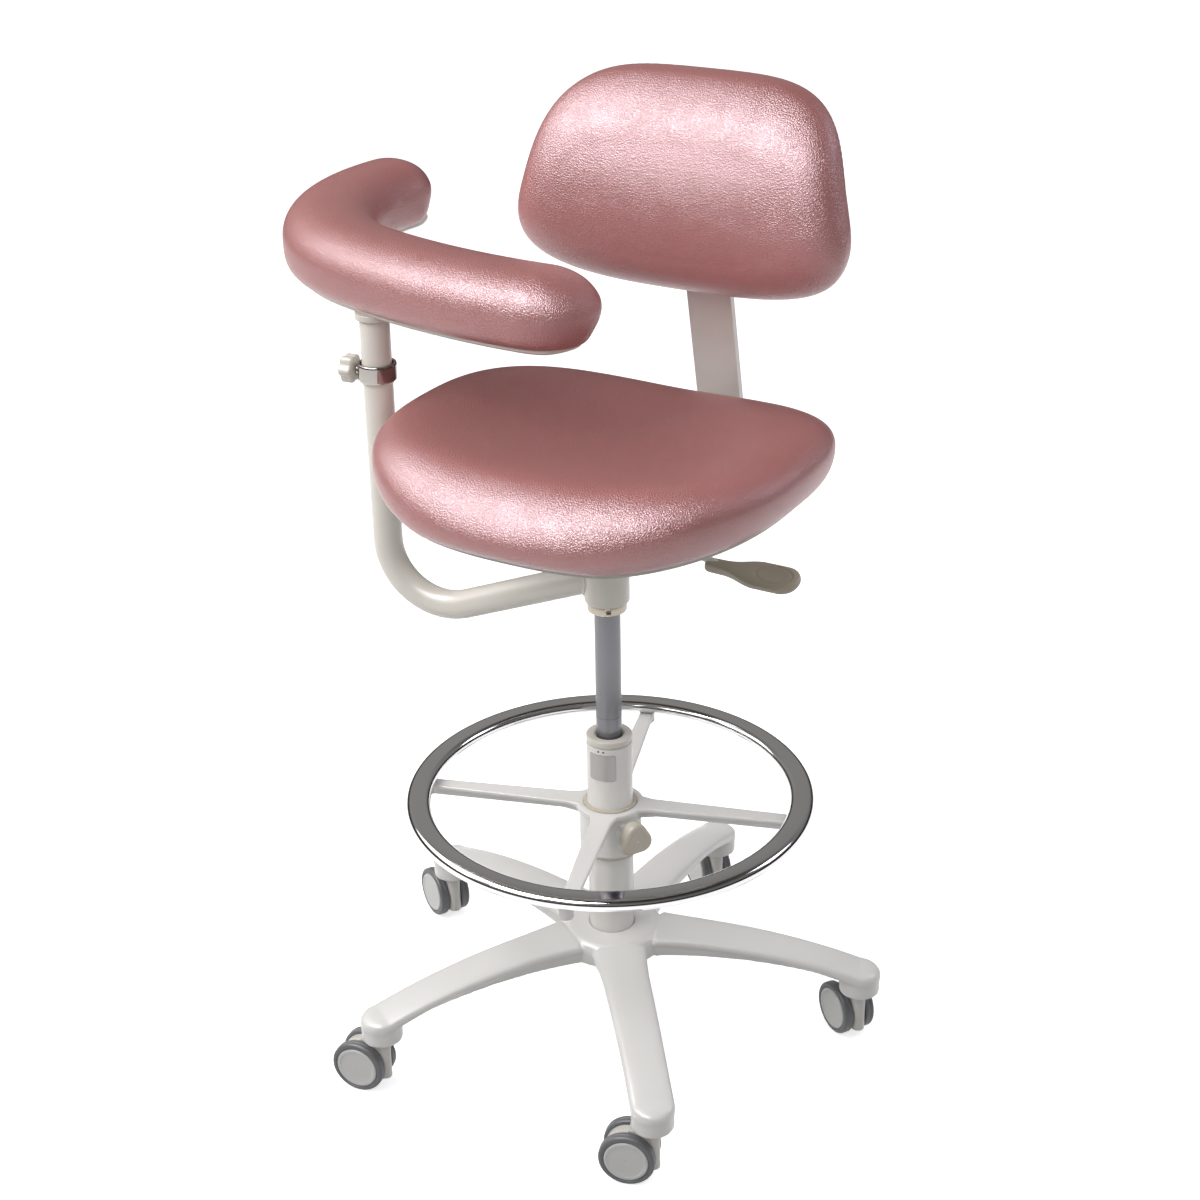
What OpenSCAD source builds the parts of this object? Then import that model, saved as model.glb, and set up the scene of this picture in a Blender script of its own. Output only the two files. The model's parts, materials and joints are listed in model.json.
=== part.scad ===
// Dental operator stool with a foot ring and a swinging body support.
// Millimetres. The origin is on the floor under the column axis, with +Z up.
// The sitter faces -Y, the backrest stands on +Y and the sitter's left hand is on +X.

/* [Star base] */
// Distance from the column axis to each caster stem
base_reach = 280; // [250:1:310]
// Direction of the first leg about the column
base_turn = -52.3; // [-72:0.1:72]
// Diameter of the boss at a leg's end
boss_d = 45; // [40:0.5:52]
// Height of the boss under a leg's end
boss_h = 17; // [15:0.5:24]
// Width of a leg where it leaves the hub
leg_root_w = 54; // [46:0.5:62]
// Depth of a leg where it leaves the hub
leg_root_h = 30; // [26:0.5:36]
// Depth of a leg at its boss
leg_tip_h = 14; // [11:0.5:17]
// Rounding depth along a leg's upper edges
leg_round = 9; // [6:0.5:9]
// Amount that a leg's sides draw in below that rounding
leg_draft = 4; // [2:0.5:6]
// Wall of the hollow legs
leg_wall = 4; // [3:0.25:5]
// Diameter of the hub that carries the column
hub_d = 116; // [108:1:126]
// Top of the hub above the floor
hub_top = 131; // [126:0.5:136]

/* [Casters] */
// Diameter of a wheel
wheel_d = 60; // [56:0.5:64]
// Width of a wheel
wheel_w = 12; // [10:0.1:14]
// Diameter of the pale disc in a wheel
disc_d = 47; // [42:0.5:50]
// Width of the hood between two wheels
hood_w = 15.2; // [14.6:0.1:17]
// Diameter of the hood's round part
hood_d = 52; // [46:0.5:54]
// Distance from a caster's swivel axis to its axle
caster_trail = 24.5; // [22:0.1:27]
// Height of a leg boss's lower face above the axle
boss_over_axle = 35.8; // [34:0.1:38]
// Diameter of the axle
axle_d = 6; // [5:0.1:7]
// Diameter of the stem
stem_d = 10; // [9:0.1:10.6]
// Length of the stem inside a leg boss
stem_in_boss = 20; // [16:0.5:24]

/* [Gas lift] */
// Diameter of the outer column
column_d = 50; // [46:0.5:54]
// Wall of the outer column
column_wall = 1.5; // [1.2:0.1:2]
// Top of the outer column's metal tube above the floor
column_top = 363; // [350:1:375]
// Depth of the column's narrower foot below the hub's lower face
column_foot = 40; // [36:0.5:44]
// Height of the guide bush's visible cap
cap_h = 9; // [6:0.5:12]
// Length of the guide bush inside the column
bush_l = 62; // [50:1:70]
// Diameter of the pressure tube
tube_d = 28; // [27:0.1:29]
// Wall of the pressure tube
tube_wall = 2; // [1.6:0.1:2.4]
// Length of the pressure tube that shows at rest, from the cap to the retaining ring
tube_show = 149; // [141:1:155]
// Length of the pressure tube that stays inside the column at rest
tube_hidden = 157; // [150:1:165]
// Diameter of the piston rod
rod_d = 10; // [9:0.1:11]
// Diameter of the release pin
pin_d = 8; // [7:0.1:9]

/* [Foot ring] */
// Outer diameter of the foot ring
ring_d = 446; // [420:1:470]
// Width of the ring's oval section
ring_w = 27; // [24:0.5:30]
// Height of the ring's oval section
ring_h = 14; // [12:0.5:18]
// Height of the ring's middle above the floor at rest
ring_z = 294.6; // [285:0.1:300]
// Direction of the first spider arm
spider_turn = 17; // [0:0.5:45]
// Width of a spider arm at the hub
arm_root_w = 24; // [20:0.5:28]
// Width of a spider arm at the ring
arm_tip_w = 16; // [14:0.5:18]
// Depth of a spider arm
arm_h = 15; // [12:0.5:18]
// Thickness of a spider arm's flange and web
arm_t = 5; // [4:0.25:7]
// Diameter of the spider's hub
spider_hub_d = 68; // [64:0.5:74]
// Height of the spider's hub
spider_hub_h = 56; // [50:0.5:60]
// Wall of the bush inside the spider's hub
ring_bush_t = 4; // [3:0.25:5]
// Direction of the ring's clamp knob
ring_knob_turn = -30; // [-40:1:-15]
// Width across the lobes of the ring's clamp knob
ring_knob_d = 40; // [34:0.5:46]
// Thickness of that knob
ring_knob_h = 14; // [11:0.5:18]

/* [Seat] */
// Width of the seat
seat_w = 450; // [430:1:470]
// Depth of the seat in front of its middle
seat_front = 216; // [200:1:222]
// Depth of the seat behind its middle
seat_rear = 203; // [195:1:212]
// Distance of the seat's middle behind the column axis
seat_back = 3; // [0:1:8]
// Squareness of the seat's front half, 2 is an ellipse
front_shape = 2.5; // [2:0.05:2.8]
// Squareness of the seat's rear half
rear_shape = 2.5; // [2:0.05:3]
// Depth of the shallow hollow in the middle of the rear edge
seat_notch = 14; // [6:0.5:18]
// Rise of the seat's two sides above its middle
side_lift = 24; // [0:0.5:30]
// Rise of the seat's rear edge above its middle
rear_lift = 11; // [0:0.5:16]
// Height of the hub's socket that shows below the seat mechanism's box
socket_show = 17.8; // [12:0.1:24]
// Thickness of the seat shell
shell_t = 5; // [4:0.25:7]
// Thickness of the cushion
seat_h = 61; // [52:0.5:70]
// Depth of the dish in the cushion's top
seat_dish = 12; // [0:0.5:18]
// Drop of the cushion's top at its front
seat_fall = 22; // [0:0.5:30]
// Drop of the cushion's top at its rear
rear_fall = 10; // [0:0.5:16]

/* [Backrest] */
// Width of the backrest at its middle
back_w = 368; // [340:1:390]
// Height of the backrest
back_h = 213; // [200:1:226]
// Thickness of the backrest cushion
back_t = 59; // [50:0.5:68]
// Share by which the backrest narrows from its middle to its top
back_taper_share = 0.152; // [0.1:0.002:0.2]
// Squareness of the backrest's upper corners, 2 is an ellipse
back_top_shape = 4.2; // [3:0.1:4.6]
// Squareness of the backrest's lower corners
back_low_shape = 2.6; // [2.2:0.1:3.2]
// Depth of the backrest's hollow across its width
back_wrap = 11; // [4:0.5:20]
// Depth of the backrest's bulge over its height
back_bulge = 29; // [15:0.5:34]
// Distance that the backrest's top lies behind its middle, apart from that bulge
back_tilt = 33; // [20:0.5:38]
// Height of the backrest's middle above the seat shell's lower face, along its bar
back_rise = 286; // [270:1:300]
// Width of the flat back bar
bar_w = 53; // [48:0.5:58]
// Thickness of the back bar
bar_t = 8; // [6:0.25:9]
// Distance of the back bar behind the column, at the seat shell's lower face
bar_back = 265; // [257:0.5:275]
// Forward lean of the back bar
bar_lean = 12; // [6:0.5:16]
// Inner radius of the back bar's bend
bar_bend = 26; // [20:0.5:32]

/* [Body support] */
// Outer diameter of the support arm's tube
arm_tube_d = 31.8; // [30:0.1:34]
// Wall of that tube
arm_tube_wall = 2; // [1.6:0.1:2.4]
// Gap between the seat's side and the tube's upright part
arm_gap = 17.1; // [12:0.1:30]
// Direction of the support arm at rest
arm_turn = 186.3; // [170:0.1:200]
// Fall of the tube's sloping part away from the collar
arm_fall = 21; // [15:0.5:25]
// Radius of the tube's bend along its centre line
arm_bend = 68; // [60:0.5:80]
// Diameter of the collar that turns about the pressure tube
collar_d = 48; // [46:0.5:52]
// Height of the collar
collar_h = 68; // [60:0.5:72]
// Rise of the clamp band above the seat shell's lower face
clamp_rise = 91; // [80:0.5:100]
// Height of the clamp band
clamp_h = 19; // [15:0.5:24]
// Thickness of the clamp band
clamp_t = 3.4; // [2.5:0.1:4.5]
// Direction of the clamp knob at rest
clamp_turn = 185; // [175:1:200]
// Length of the post that shows above the clamp
post_show = 48; // [40:0.5:54]
// Length of the post's spigot inside the tube
spigot_l = 110; // [100:1:130]

/* [Arm pad] */
// Width of the pad's section
pad_w = 107; // [95:0.5:115]
// Height of the pad's section
pad_h = 69; // [60:0.5:80]
// Distance of the pad's near end beside the post
pad_near = 269; // [250:1:285]
// Distance of the pad's near end behind the post
pad_behind = 2.5; // [-6:0.5:12]
// Radius of the pad's gently curved stretch
pad_long_r = 690; // [600:5:800]
// Sweep of that stretch
pad_long_sweep = 25; // [20:0.5:30]
// Radius of the pad's tightly curved stretch
pad_tight_r = 224; // [200:1:250]
// Sweep of that stretch
pad_tight_sweep = 94.5; // [80:0.5:105]
// Share by which the pad's width grows to its near end and shrinks to its far end
pad_taper_share = 0.045; // [0:0.005:0.08]
// Thickness of the plate under the pad
plate_t = 6; // [5:0.25:8]

/* [Lever] */
// Reach of the lever's paddle from the column axis
lever_reach = 219; // [205:1:228]
// Length of the paddle
paddle_l = 103; // [90:1:115]
// Width of the paddle
paddle_w = 34; // [28:0.5:42]
// Thickness of the paddle
paddle_t = 13; // [10:0.5:16]
// Drop of the paddle below the seat shell's lower face
paddle_drop = 54; // [46:0.5:60]
// Diameter of the lever's rod
lever_d = 8; // [7:0.1:9]

/* [Hidden] */

// Counts
LEGS = 5;
ARMS = 4;
LEG_RINGS = 9;
TIP_RINGS = 5;
LEG_POINTS = 12;
SEAT_POINTS = 56;
BACK_POINTS = 48;
PAD_POINTS = 18;
PAD_RINGS = 26;
PAD_END_RINGS = 6;
PLATE_POINTS = 32;

// Directions of the casters, from swivel axis to axle, one for each leg
caster_headings = [196.5, 146, 145, 150, 188];

// Clearances
run_gap = 0.05; // radial clearance of a shaft that turns or slides in a bore
face_gap = 0.3; // clearance between faces that pass each other
over = 1; // overrun of a cut
lap = 0.4; // lap of a straight run into the bend beside it
draw = 0.2; // amount that a bend's section is smaller than its straight runs
seat_gap = 0.1; // clearance between a tyre and its disc

// Knobs with lobes
grip_share = 0.165;
grip_step_share = 0.125;

// Star base and casters
axle_z = wheel_d / 2;
boss_z = axle_z + boss_over_axle;
leg_tip_z = boss_z + boss_h;
leg_tip_top = leg_tip_z + leg_tip_h;
leg_top_power = 2.5;
leg_low_power = 1.3;
leg_lip = 0.8;
leg_flare_w = 12;
leg_flare_end = 110;
leg_corner_share = 0.62;
leg_end_turn = 84;
hollow_end = base_reach - boss_d / 2 - leg_wall;
hub_h = 27;
hub_top_wall = 6;
hub_sleeve_d = 72;
leg_start = hub_sleeve_d / 4;
hub_rim = 6;
hub_z = hub_top - hub_h;
stem_flange_t = 1.5;
stem_flange_d = 16;
stem_low = axle_z + stem_flange_d;
hood_top = boss_z - stem_flange_t - face_gap;
hood_step_share = 0.25;
wheel_start = hood_w / 2 + face_gap;
wheel_end = wheel_start + wheel_w;
disc_face_t = 2.6;
disc_rim_t = 2.4;
disc_hub_d = 14;
tyre_round = 3.1;
tyre_edge = 2;
tyre_inset = 0.6;

// Gas lift
column_z = hub_z - column_foot;
foot_plate_t = 4;
foot_d = 36;
foot_wall = 2.5;
foot_shoulder = 6;
bearing_h = 6;
bearing_wall = 8;
clip_t = 1.4;
clip_d = 19;
cap_round = 4;
cap_z = column_top + cap_h;
collar_ring_z = cap_z + tube_show;
tube_z = cap_z - tube_hidden;
collar_ring_h = 9.6;
collar_ring_d = 42;
collar_z = collar_ring_z + collar_ring_h + face_gap;
hub_socket_z = collar_z + collar_h + face_gap;
hub_socket_d = 46;
tube_in_hub = 28;
tube_top = hub_socket_z + tube_in_hub;
tube_plug = 20;
tube_seal = 14;
piston_h = 8;
piston_drop = 22;
piston_z = cap_z - piston_drop;
clip_z = column_z - clip_t - face_gap;
pin_l = 30;
set_screw_d = 4;
set_screw_turn = -57;

// Plain plate on the column
column_plate_t = 0.5;
column_plate_h = 32;
column_plate_w = 31;
column_plate_drop = 38;
column_plate_turn = -80;

// Foot ring
spider_top = ring_z - ring_h / 2;
spider_z = spider_top - spider_hub_h;
spider_bore_d = column_d + 2 * (ring_bush_t + 2 * run_gap);
hub_flange_h = 8;
hub_flange_lip = 3;
hub_flange_d = spider_hub_d + 2 * hub_flange_lip;
bush_flange_h = 4;
bush_flange_lip = 2;
bush_flange_d = spider_bore_d + 2 * bush_flange_lip;
arm_end_r = (ring_d - ring_w) / 2;
ring_knob_drop = 23;
ring_knob_z = spider_top - ring_knob_drop;
ring_knob_gap = 3;
ring_lobe_share = 0.3;
ring_lobe_edge_share = 0.8;
ring_knob_edge_share = 0.2;
ring_stud_d = 8;
knob_boss_d = 20;
knob_boss_l = 8;
ring_screw_d = 6;
ring_screw_head_d = 10;
ring_screw_head_h = 3;
ring_screw_bite = 9;

// Seat
seat_tuck = 16;
seat_roll = 71;
seat_low_share = 0.47;
seat_flat = 95;
seat_lift_power = 1.25;
seat_low_rings = 4;
seat_high_rings = 7;
seat_top_shares = [0.72, 0.45, 0.2, 0.04];
pan_shares = [0.04, 0.46, 0.66, 0.84, 1];
shell_inset = 19;
mech_plate_w = 180;
mech_plate_l = 160;
mech_plate_t = 4;
box_w = 92;
box_l = 104;
box_h = 30;
box_wall = 3;
box_z = hub_socket_z + socket_show;
plate_z = box_z + box_h;
shell_z = plate_z + mech_plate_t;
seat_z = shell_z + shell_t;
guide_l = 72;
guide_wall = 6;
guide_slot_gap = 0.2;
guide_back = box_l / 2 + guide_l;
bolt_d = 8;
bolt_head_d = 13;
bolt_head_h = 4;
bolt_pitch_x = 150;
bolt_pitch_y = 130;

// Lever
lever_hinge_x = 36;
lever_sleeve_d = 11;
lever_sleeve_l = 22;
lever_pin_d = 6;
lever_hinge_z = plate_z - lever_sleeve_d / 2 - face_gap;
lever_knee_x = 72;
lever_knee_drop = 2;
lever_knee_z = box_z - lever_knee_drop;
lever_in_paddle = 22;
paddle_z = shell_z - paddle_drop;
paddle_neck_share = 0.62;
paddle_grip_share = 0.45;
paddle_waist_share = 0.51;
paddle_waist_w_share = 0.9;
paddle_face_share = 0.8;
lever_slot_w = 16;
pin_top = lever_hinge_z - lever_d / 2 - face_gap;

// Back bar and backrest
bar_in_box = 6;
bar_above_box = 13;
bar_z = box_z + bar_above_box;
bar_front = box_l / 2 - bar_in_box;
bar_mid_bend = bar_bend + bar_t / 2;
bar_knob_d = 38;
bar_knob_h = 18;
bar_stud_d = 8;
bar_knob_share = 0.6;
bar_knob_y = box_l / 2 + guide_l * bar_knob_share;
bar_knob_gap = 8;
shell_back_t = 5;
shell_back_gap = 8;
bracket_h = 70;
bracket_drop = 60;
bracket_z = back_rise - bracket_drop;
bracket_wall = 6;
bracket_reach = 18;
back_knob_gap = 8;
back_knob_d = 44;
back_knob_h = 20;
back_stud_d = 8;

// Body support
arm_in_collar = 6;
arm_above_collar = 23;
arm_run_start = collar_d / 2 - arm_in_collar;
arm_run_z = collar_z + arm_above_collar;
arm_bend_turn = 90 + arm_fall;
arm_reach = seat_w / 2 + arm_gap + arm_tube_d / 2;
arm_bend_x = arm_reach - arm_bend;
arm_run_end = arm_bend_x - arm_bend * sin(arm_fall);
arm_bend_z = arm_run_z - (arm_run_end - arm_run_start) * tan(arm_fall) + arm_bend * cos(arm_fall);
cup_wall = 1.5;
cup_drop = 3;
cup_d = arm_tube_d + 2 * cup_wall;
cup_share = 0.6;
clamp_stud_share = 0.42;
clamp_z = shell_z + clamp_rise;
arm_tube_top = clamp_z + clamp_h * cup_share;
post_z = arm_tube_top + face_gap;
spigot_d = arm_tube_d - 2 * arm_tube_wall - 2 * run_gap;
post_top = clamp_z + clamp_h + post_show;
post_pin_d = 18;
clamp_boss_d = 13;
clamp_boss_l = 3;
clamp_knob_gap = 2;
clamp_stud_z = clamp_z + clamp_h * clamp_stud_share;
clamp_knob_d = 27;
clamp_knob_h = 13;
clamp_stud_d = 6;
socket_d = 40;
socket_h = 6;
plate_low = post_top + face_gap + socket_h;
post_pin_l = socket_h + plate_t - face_gap;
pad_z = plate_low + plate_t;
plate_inset = 13;
plate_margin = 13;
arm_screw_d = 5;
arm_screw_head_d = 9;
arm_screw_head_h = 2.5;
arm_screw_bite = 10;

// General shapes and functions

function signed_pow(v, p) = sign(v) * pow(abs(v), p);
function ease(t) = t * t * (3 - 2 * t);
function polar(r, a) = [r * cos(a), r * sin(a)];

// A closed loft through rings of equal length, with flat ends; downward for rings that start on top
module loft(rings, downward = false) {
    n = len(rings[0]);
    m = len(rings);
    sides = [
        for (i = [0:m - 2]) for (j = [0:n - 1]) each [
            [i * n + j, (i + 1) * n + (j + 1) % n, i * n + (j + 1) % n],
            [i * n + j, (i + 1) * n + j, (i + 1) * n + (j + 1) % n]
        ]
    ];
    first = [for (j = [1:n - 2]) [0, j, j + 1]];
    last = [for (j = [1:n - 2]) [(m - 1) * n, (m - 1) * n + j + 1, (m - 1) * n + j]];
    faces = [for (f = concat(sides, first, last)) downward ? [f.z, f.y, f.x] : f];
    polyhedron([for (ring = rings) each ring], faces, convexity = 6);
}

// A rod between two points
module rod_between(p, q, d) {
    v = q - p;
    l = norm(v);
    translate(p) rotate([0, acos(v.z / l), atan2(v.y, v.x)]) cylinder(h = l, d = d, $fn = 48);
}

// A round knob with lobes about +Z
module lobed_knob(d, h, lobes, grip) {
    core = d - grip;
    cylinder(h = h, d = core, $fn = 64);
    for (k = [0:lobes - 1]) rotate(360 * k / lobes) translate([(core - grip) / 2, 0])
        cylinder(h = h - grip * grip_step_share, d = 2 * grip, $fn = 32);
}

// Star base

function leg_share(r) = max(0, min(1, (r - leg_start) / (base_reach - leg_start)));
function leg_top(r) = leg_tip_top + (hub_top - leg_tip_top) * (1 - pow(leg_share(r), leg_top_power));
function leg_depth(r) = leg_tip_h + (leg_root_h - leg_tip_h) * pow(1 - leg_share(r), leg_low_power);
function leg_past(r) = max(0, r - base_reach);
function leg_flare(r) = leg_flare_w * pow(max(0, 1 - r / leg_flare_end), 2);
function leg_half(r) = r > base_reach
    ? sqrt(pow(boss_d / 2 + leg_lip, 2) - pow(leg_past(r), 2))
    : leg_flare(r) + (leg_root_w + (boss_d + 2 * leg_lip - leg_root_w) * ease(leg_share(r))) / 2;
function leg_fall(r) = leg_round * (1 - sqrt(1 - pow(leg_past(r) / (boss_d / 2 + leg_lip), 2)));

// One section across a leg, drawn in by inset and run down by drop
function leg_ring(r, inset, drop) =
    let (
        top = leg_top(r) - leg_fall(r) - inset,
        low = leg_top(r) - leg_depth(r) - drop,
        half = leg_half(r) - inset,
        foot = half * (1 - 2 * leg_draft / boss_d),
        shoulder = min(leg_round, (top - low) / 2)
    )
    concat(
        [[r, -foot, low], [r, foot, low]],
        [for (j = [0:LEG_POINTS]) let (a = 180 * j / LEG_POINTS) [
            r,
            half * signed_pow(cos(a), leg_corner_share),
            top - shoulder + shoulder * signed_pow(sin(a), leg_corner_share)
        ]]
    );

module leg() {
    run = [for (i = [0:LEG_RINGS]) leg_start + (base_reach - leg_start) * i / LEG_RINGS];
    tip = [for (i = [1:TIP_RINGS]) base_reach + (boss_d / 2 + leg_lip) * sin(leg_end_turn * i / TIP_RINGS)];
    loft([for (r = concat(run, tip)) leg_ring(r, 0, 0)]);
}

module leg_hollow() {
    loft([
        for (i = [0:LEG_RINGS - 2])
            leg_ring(hub_d / 2 + (hollow_end - hub_d / 2) * i / (LEG_RINGS - 2), leg_wall, over)
    ]);
}

module at_legs() {
    for (i = [0:LEGS - 1]) rotate(base_turn + 360 * i / LEGS) children();
}

module star_base() {
    color("white") difference() {
        union() {
            translate([0, 0, hub_z]) cylinder(h = hub_h, d = hub_sleeve_d, $fn = 96);
            rotate_extrude($fn = 96) {
                translate([0, hub_z]) square([hub_d / 2, hub_h - leg_round]);
                translate([0, hub_z]) square([hub_d / 2 - leg_round, hub_h]);
                translate([hub_d / 2 - leg_round, hub_top - leg_round]) circle(r = leg_round, $fn = 48);
            }
            at_legs() leg();
            at_legs() translate([base_reach, 0, boss_z])
                cylinder(h = boss_h + leg_tip_h / 2, d = boss_d, $fn = 64);
        }
        at_legs() leg_hollow();
        translate([0, 0, hub_z - leg_root_h])
            ring_tube(hub_h + leg_root_h - hub_top_wall, hub_d - 2 * hub_rim, hub_sleeve_d);
        translate([0, 0, hub_z - over]) cylinder(h = hub_h + 2 * over, d = column_d, $fn = 96);
        at_legs() translate([base_reach, 0, boss_z - over])
            cylinder(h = stem_in_boss + over, d = stem_d, $fn = 48);
    }
}

// Casters, with the swivel axis on the origin and the axle on +X

module at_caster(i) {
    translate(polar(base_reach, base_turn + 360 * (i - 1) / LEGS)) rotate(caster_headings[i - 1])
        children();
}

module caster_stems() {
    color("silver") for (i = [1:LEGS]) at_caster(i) {
        translate([0, 0, stem_low]) cylinder(h = boss_z + stem_in_boss - stem_low, d = stem_d, $fn = 48);
        translate([0, 0, boss_z - stem_flange_t]) cylinder(h = stem_flange_t, d = stem_flange_d, $fn = 48);
    }
}

module caster_hood(i) {
    neck_low = axle_z - stem_flange_d;
    color("white") at_caster(i) difference() {
        union() {
            translate([caster_trail, 0, axle_z]) rotate([90, 0, 0]) {
                cylinder(h = hood_w, d = hood_d, center = true, $fn = 96);
                cylinder(h = 2 * (wheel_end - disc_face_t - face_gap), d = axle_d, center = true, $fn = 48);
            }
            translate([0, 0, neck_low]) cylinder(h = hood_top - neck_low, d = hood_w, $fn = 64);
            translate([0, -hood_w / 2, neck_low])
                cube([caster_trail, hood_w, hood_top - neck_low - hood_w * hood_step_share]);
        }
        translate([0, 0, stem_low - face_gap])
            cylinder(h = hood_top, d = stem_d + 2 * run_gap, $fn = 48);
    }
}

// Places a wheel's profile, with the radius on X and the width on Y; side is 1 or -1
module at_wheel(i, side) {
    at_caster(i) translate([caster_trail, 0, axle_z]) rotate([-90 * side, 0, 0]) rotate_extrude($fn = 96)
        children();
}

module caster_disc(i, side) {
    bore = axle_d / 2 + run_gap;
    color("gainsboro") at_wheel(i, side) {
        translate([0, wheel_end - disc_face_t]) square([disc_d / 2, disc_face_t]);
        translate([bore, wheel_start]) square([disc_hub_d / 2 - bore, wheel_w - disc_face_t]);
        translate([disc_d / 2 - disc_rim_t, wheel_start]) square([disc_rim_t, wheel_w - disc_face_t]);
    }
}

module caster_tyre(i, side) {
    t = (wheel_d - disc_d) / 2 - seat_gap;
    w = wheel_w - tyre_inset;
    color("dimgray") at_wheel(i, side) translate([disc_d / 2 + seat_gap, wheel_start]) {
        square([t - tyre_round, w]);
        translate([0, tyre_edge]) square([t, w - tyre_edge - tyre_round]);
        square([t - tyre_edge, w - tyre_round]);
        translate([t - tyre_edge, tyre_edge]) circle(r = tyre_edge, $fn = 48);
        translate([t - tyre_round, w - tyre_round]) circle(r = tyre_round, $fn = 48);
    }
}

// Gas lift

module ring_tube(h, outer, inner) {
    difference() {
        cylinder(h = h, d = outer, $fn = 96);
        translate([0, 0, -over]) cylinder(h = h + 2 * over, d = inner, $fn = 96);
    }
}

module column_tube() {
    color("white") difference() {
        union() {
            translate([0, 0, column_z]) cylinder(h = column_top - column_z, d = foot_d, $fn = 96);
            translate([0, 0, hub_z]) cylinder(h = column_top - hub_z, d = column_d, $fn = 96);
        }
        translate([0, 0, hub_z + foot_shoulder])
            cylinder(h = column_top, d = column_d - 2 * column_wall, $fn = 96);
        translate([0, 0, column_z + foot_plate_t])
            cylinder(h = column_top, d = foot_d - 2 * foot_wall, $fn = 96);
        translate([0, 0, column_z - over])
            cylinder(h = foot_plate_t + 2 * over, d = rod_d + 2 * face_gap, $fn = 48);
    }
}

module column_bush() {
    bore = tube_d / 2 + run_gap;
    color("ivory") rotate_extrude($fn = 96) {
        translate([bore, column_top]) square([column_d / 2 - cap_round - bore, cap_h]);
        translate([bore, column_top]) square([column_d / 2 - bore, cap_h - cap_round]);
        translate([column_d / 2 - cap_round, cap_z - cap_round]) circle(r = cap_round, $fn = 48);
        translate([bore, column_top - bush_l]) square([column_d / 2 - column_wall - bore, bush_l]);
    }
}

module column_plate() {
    sweep = 360 * column_plate_w / (PI * column_d);
    color("silver") rotate(column_plate_turn - sweep / 2)
        rotate_extrude(angle = sweep, $fn = 96)
            translate([column_d / 2, column_top - column_plate_drop])
                square([column_plate_t, column_plate_h]);
}

module thrust_bearing() {
    color("silver") translate([0, 0, column_z + foot_plate_t])
        ring_tube(bearing_h, rod_d + 2 * bearing_wall, rod_d + 2 * run_gap);
}

module retaining_clip() {
    color("gray") translate([0, 0, clip_z]) ring_tube(clip_t, clip_d, rod_d);
}

module piston_rod() {
    color("silver") {
        translate([0, 0, clip_z - clip_t]) cylinder(h = piston_z - clip_z + clip_t, d = rod_d, $fn = 48);
        translate([0, 0, column_z + foot_plate_t + bearing_h + face_gap])
            cylinder(h = clip_t, d = clip_d, $fn = 48);
        translate([0, 0, piston_z])
            cylinder(h = piston_h, d = tube_d - 2 * tube_wall - 2 * run_gap, $fn = 96);
    }
}

module pressure_tube() {
    color("slategray") difference() {
        translate([0, 0, tube_z]) cylinder(h = tube_top - tube_z, d = tube_d, $fn = 96);
        translate([0, 0, tube_z + tube_seal])
            cylinder(h = tube_top - tube_plug - tube_z - tube_seal, d = tube_d - 2 * tube_wall, $fn = 96);
        translate([0, 0, tube_z - over])
            cylinder(h = tube_seal + 2 * over, d = rod_d + 2 * run_gap, $fn = 48);
        translate([0, 0, tube_top - tube_plug - over])
            cylinder(h = tube_plug + 2 * over, d = pin_d + 2 * run_gap, $fn = 48);
    }
}

module release_pin() {
    color("silver") translate([0, 0, pin_top - pin_l]) cylinder(h = pin_l, d = pin_d, $fn = 48);
}

module collar_ring() {
    color("tan") translate([0, 0, collar_ring_z]) difference() {
        ring_tube(collar_ring_h, collar_ring_d, tube_d);
        rotate(set_screw_turn) translate([0, 0, collar_ring_h / 2]) rotate([0, 90, 0])
            cylinder(h = collar_ring_d, d = set_screw_d, $fn = 32);
    }
}

// Foot ring

module at_arms() {
    for (i = [0:ARMS - 1]) rotate(spider_turn + 360 * i / ARMS) children();
}

module ring_bush() {
    color("ivory") {
        translate([0, 0, spider_z])
            ring_tube(spider_hub_h + clip_t, spider_bore_d - 2 * run_gap, column_d + 2 * run_gap);
        translate([0, 0, spider_z - bush_flange_h - face_gap])
            ring_tube(bush_flange_h + face_gap, bush_flange_d, column_d + 2 * run_gap);
    }
}

module spider_arm() {
    start = spider_bore_d / 2 + ring_bush_t / 2;
    translate([0, 0, spider_top - arm_t]) linear_extrude(arm_t)
        polygon([
            [start, -arm_root_w / 2],
            [arm_end_r, -arm_tip_w / 2],
            [arm_end_r, arm_tip_w / 2],
            [start, arm_root_w / 2]
        ]);
    translate([start, -arm_t / 2, spider_top - arm_h]) cube([arm_end_r - start, arm_t, arm_h]);
    translate([arm_end_r, 0, spider_top - arm_h]) cylinder(h = arm_h, d = arm_tip_w, $fn = 48);
}

module ring_spider() {
    color("white") difference() {
        union() {
            translate([0, 0, spider_z]) cylinder(h = spider_hub_h, d = spider_hub_d, $fn = 96);
            translate([0, 0, spider_top - hub_flange_h])
                cylinder(h = hub_flange_h, d = hub_flange_d, $fn = 96);
            at_arms() spider_arm();
            rotate(ring_knob_turn) translate([spider_bore_d / 2 + ring_bush_t / 2, 0, ring_knob_z])
                rotate([0, 90, 0])
                    cylinder(h = knob_boss_l + (spider_hub_d - spider_bore_d) / 2, d = knob_boss_d, $fn = 64);
        }
        translate([0, 0, spider_z - over])
            cylinder(h = spider_hub_h + 2 * over, d = spider_bore_d, $fn = 96);
        at_arms() translate([arm_end_r, 0, spider_top - arm_h - over])
            cylinder(h = arm_h + 2 * over, d = ring_screw_d, $fn = 48);
        rotate(ring_knob_turn) translate([0, 0, ring_knob_z]) rotate([0, 90, 0])
            cylinder(h = spider_hub_d, d = ring_stud_d + 2 * run_gap, $fn = 48);
    }
}

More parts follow.
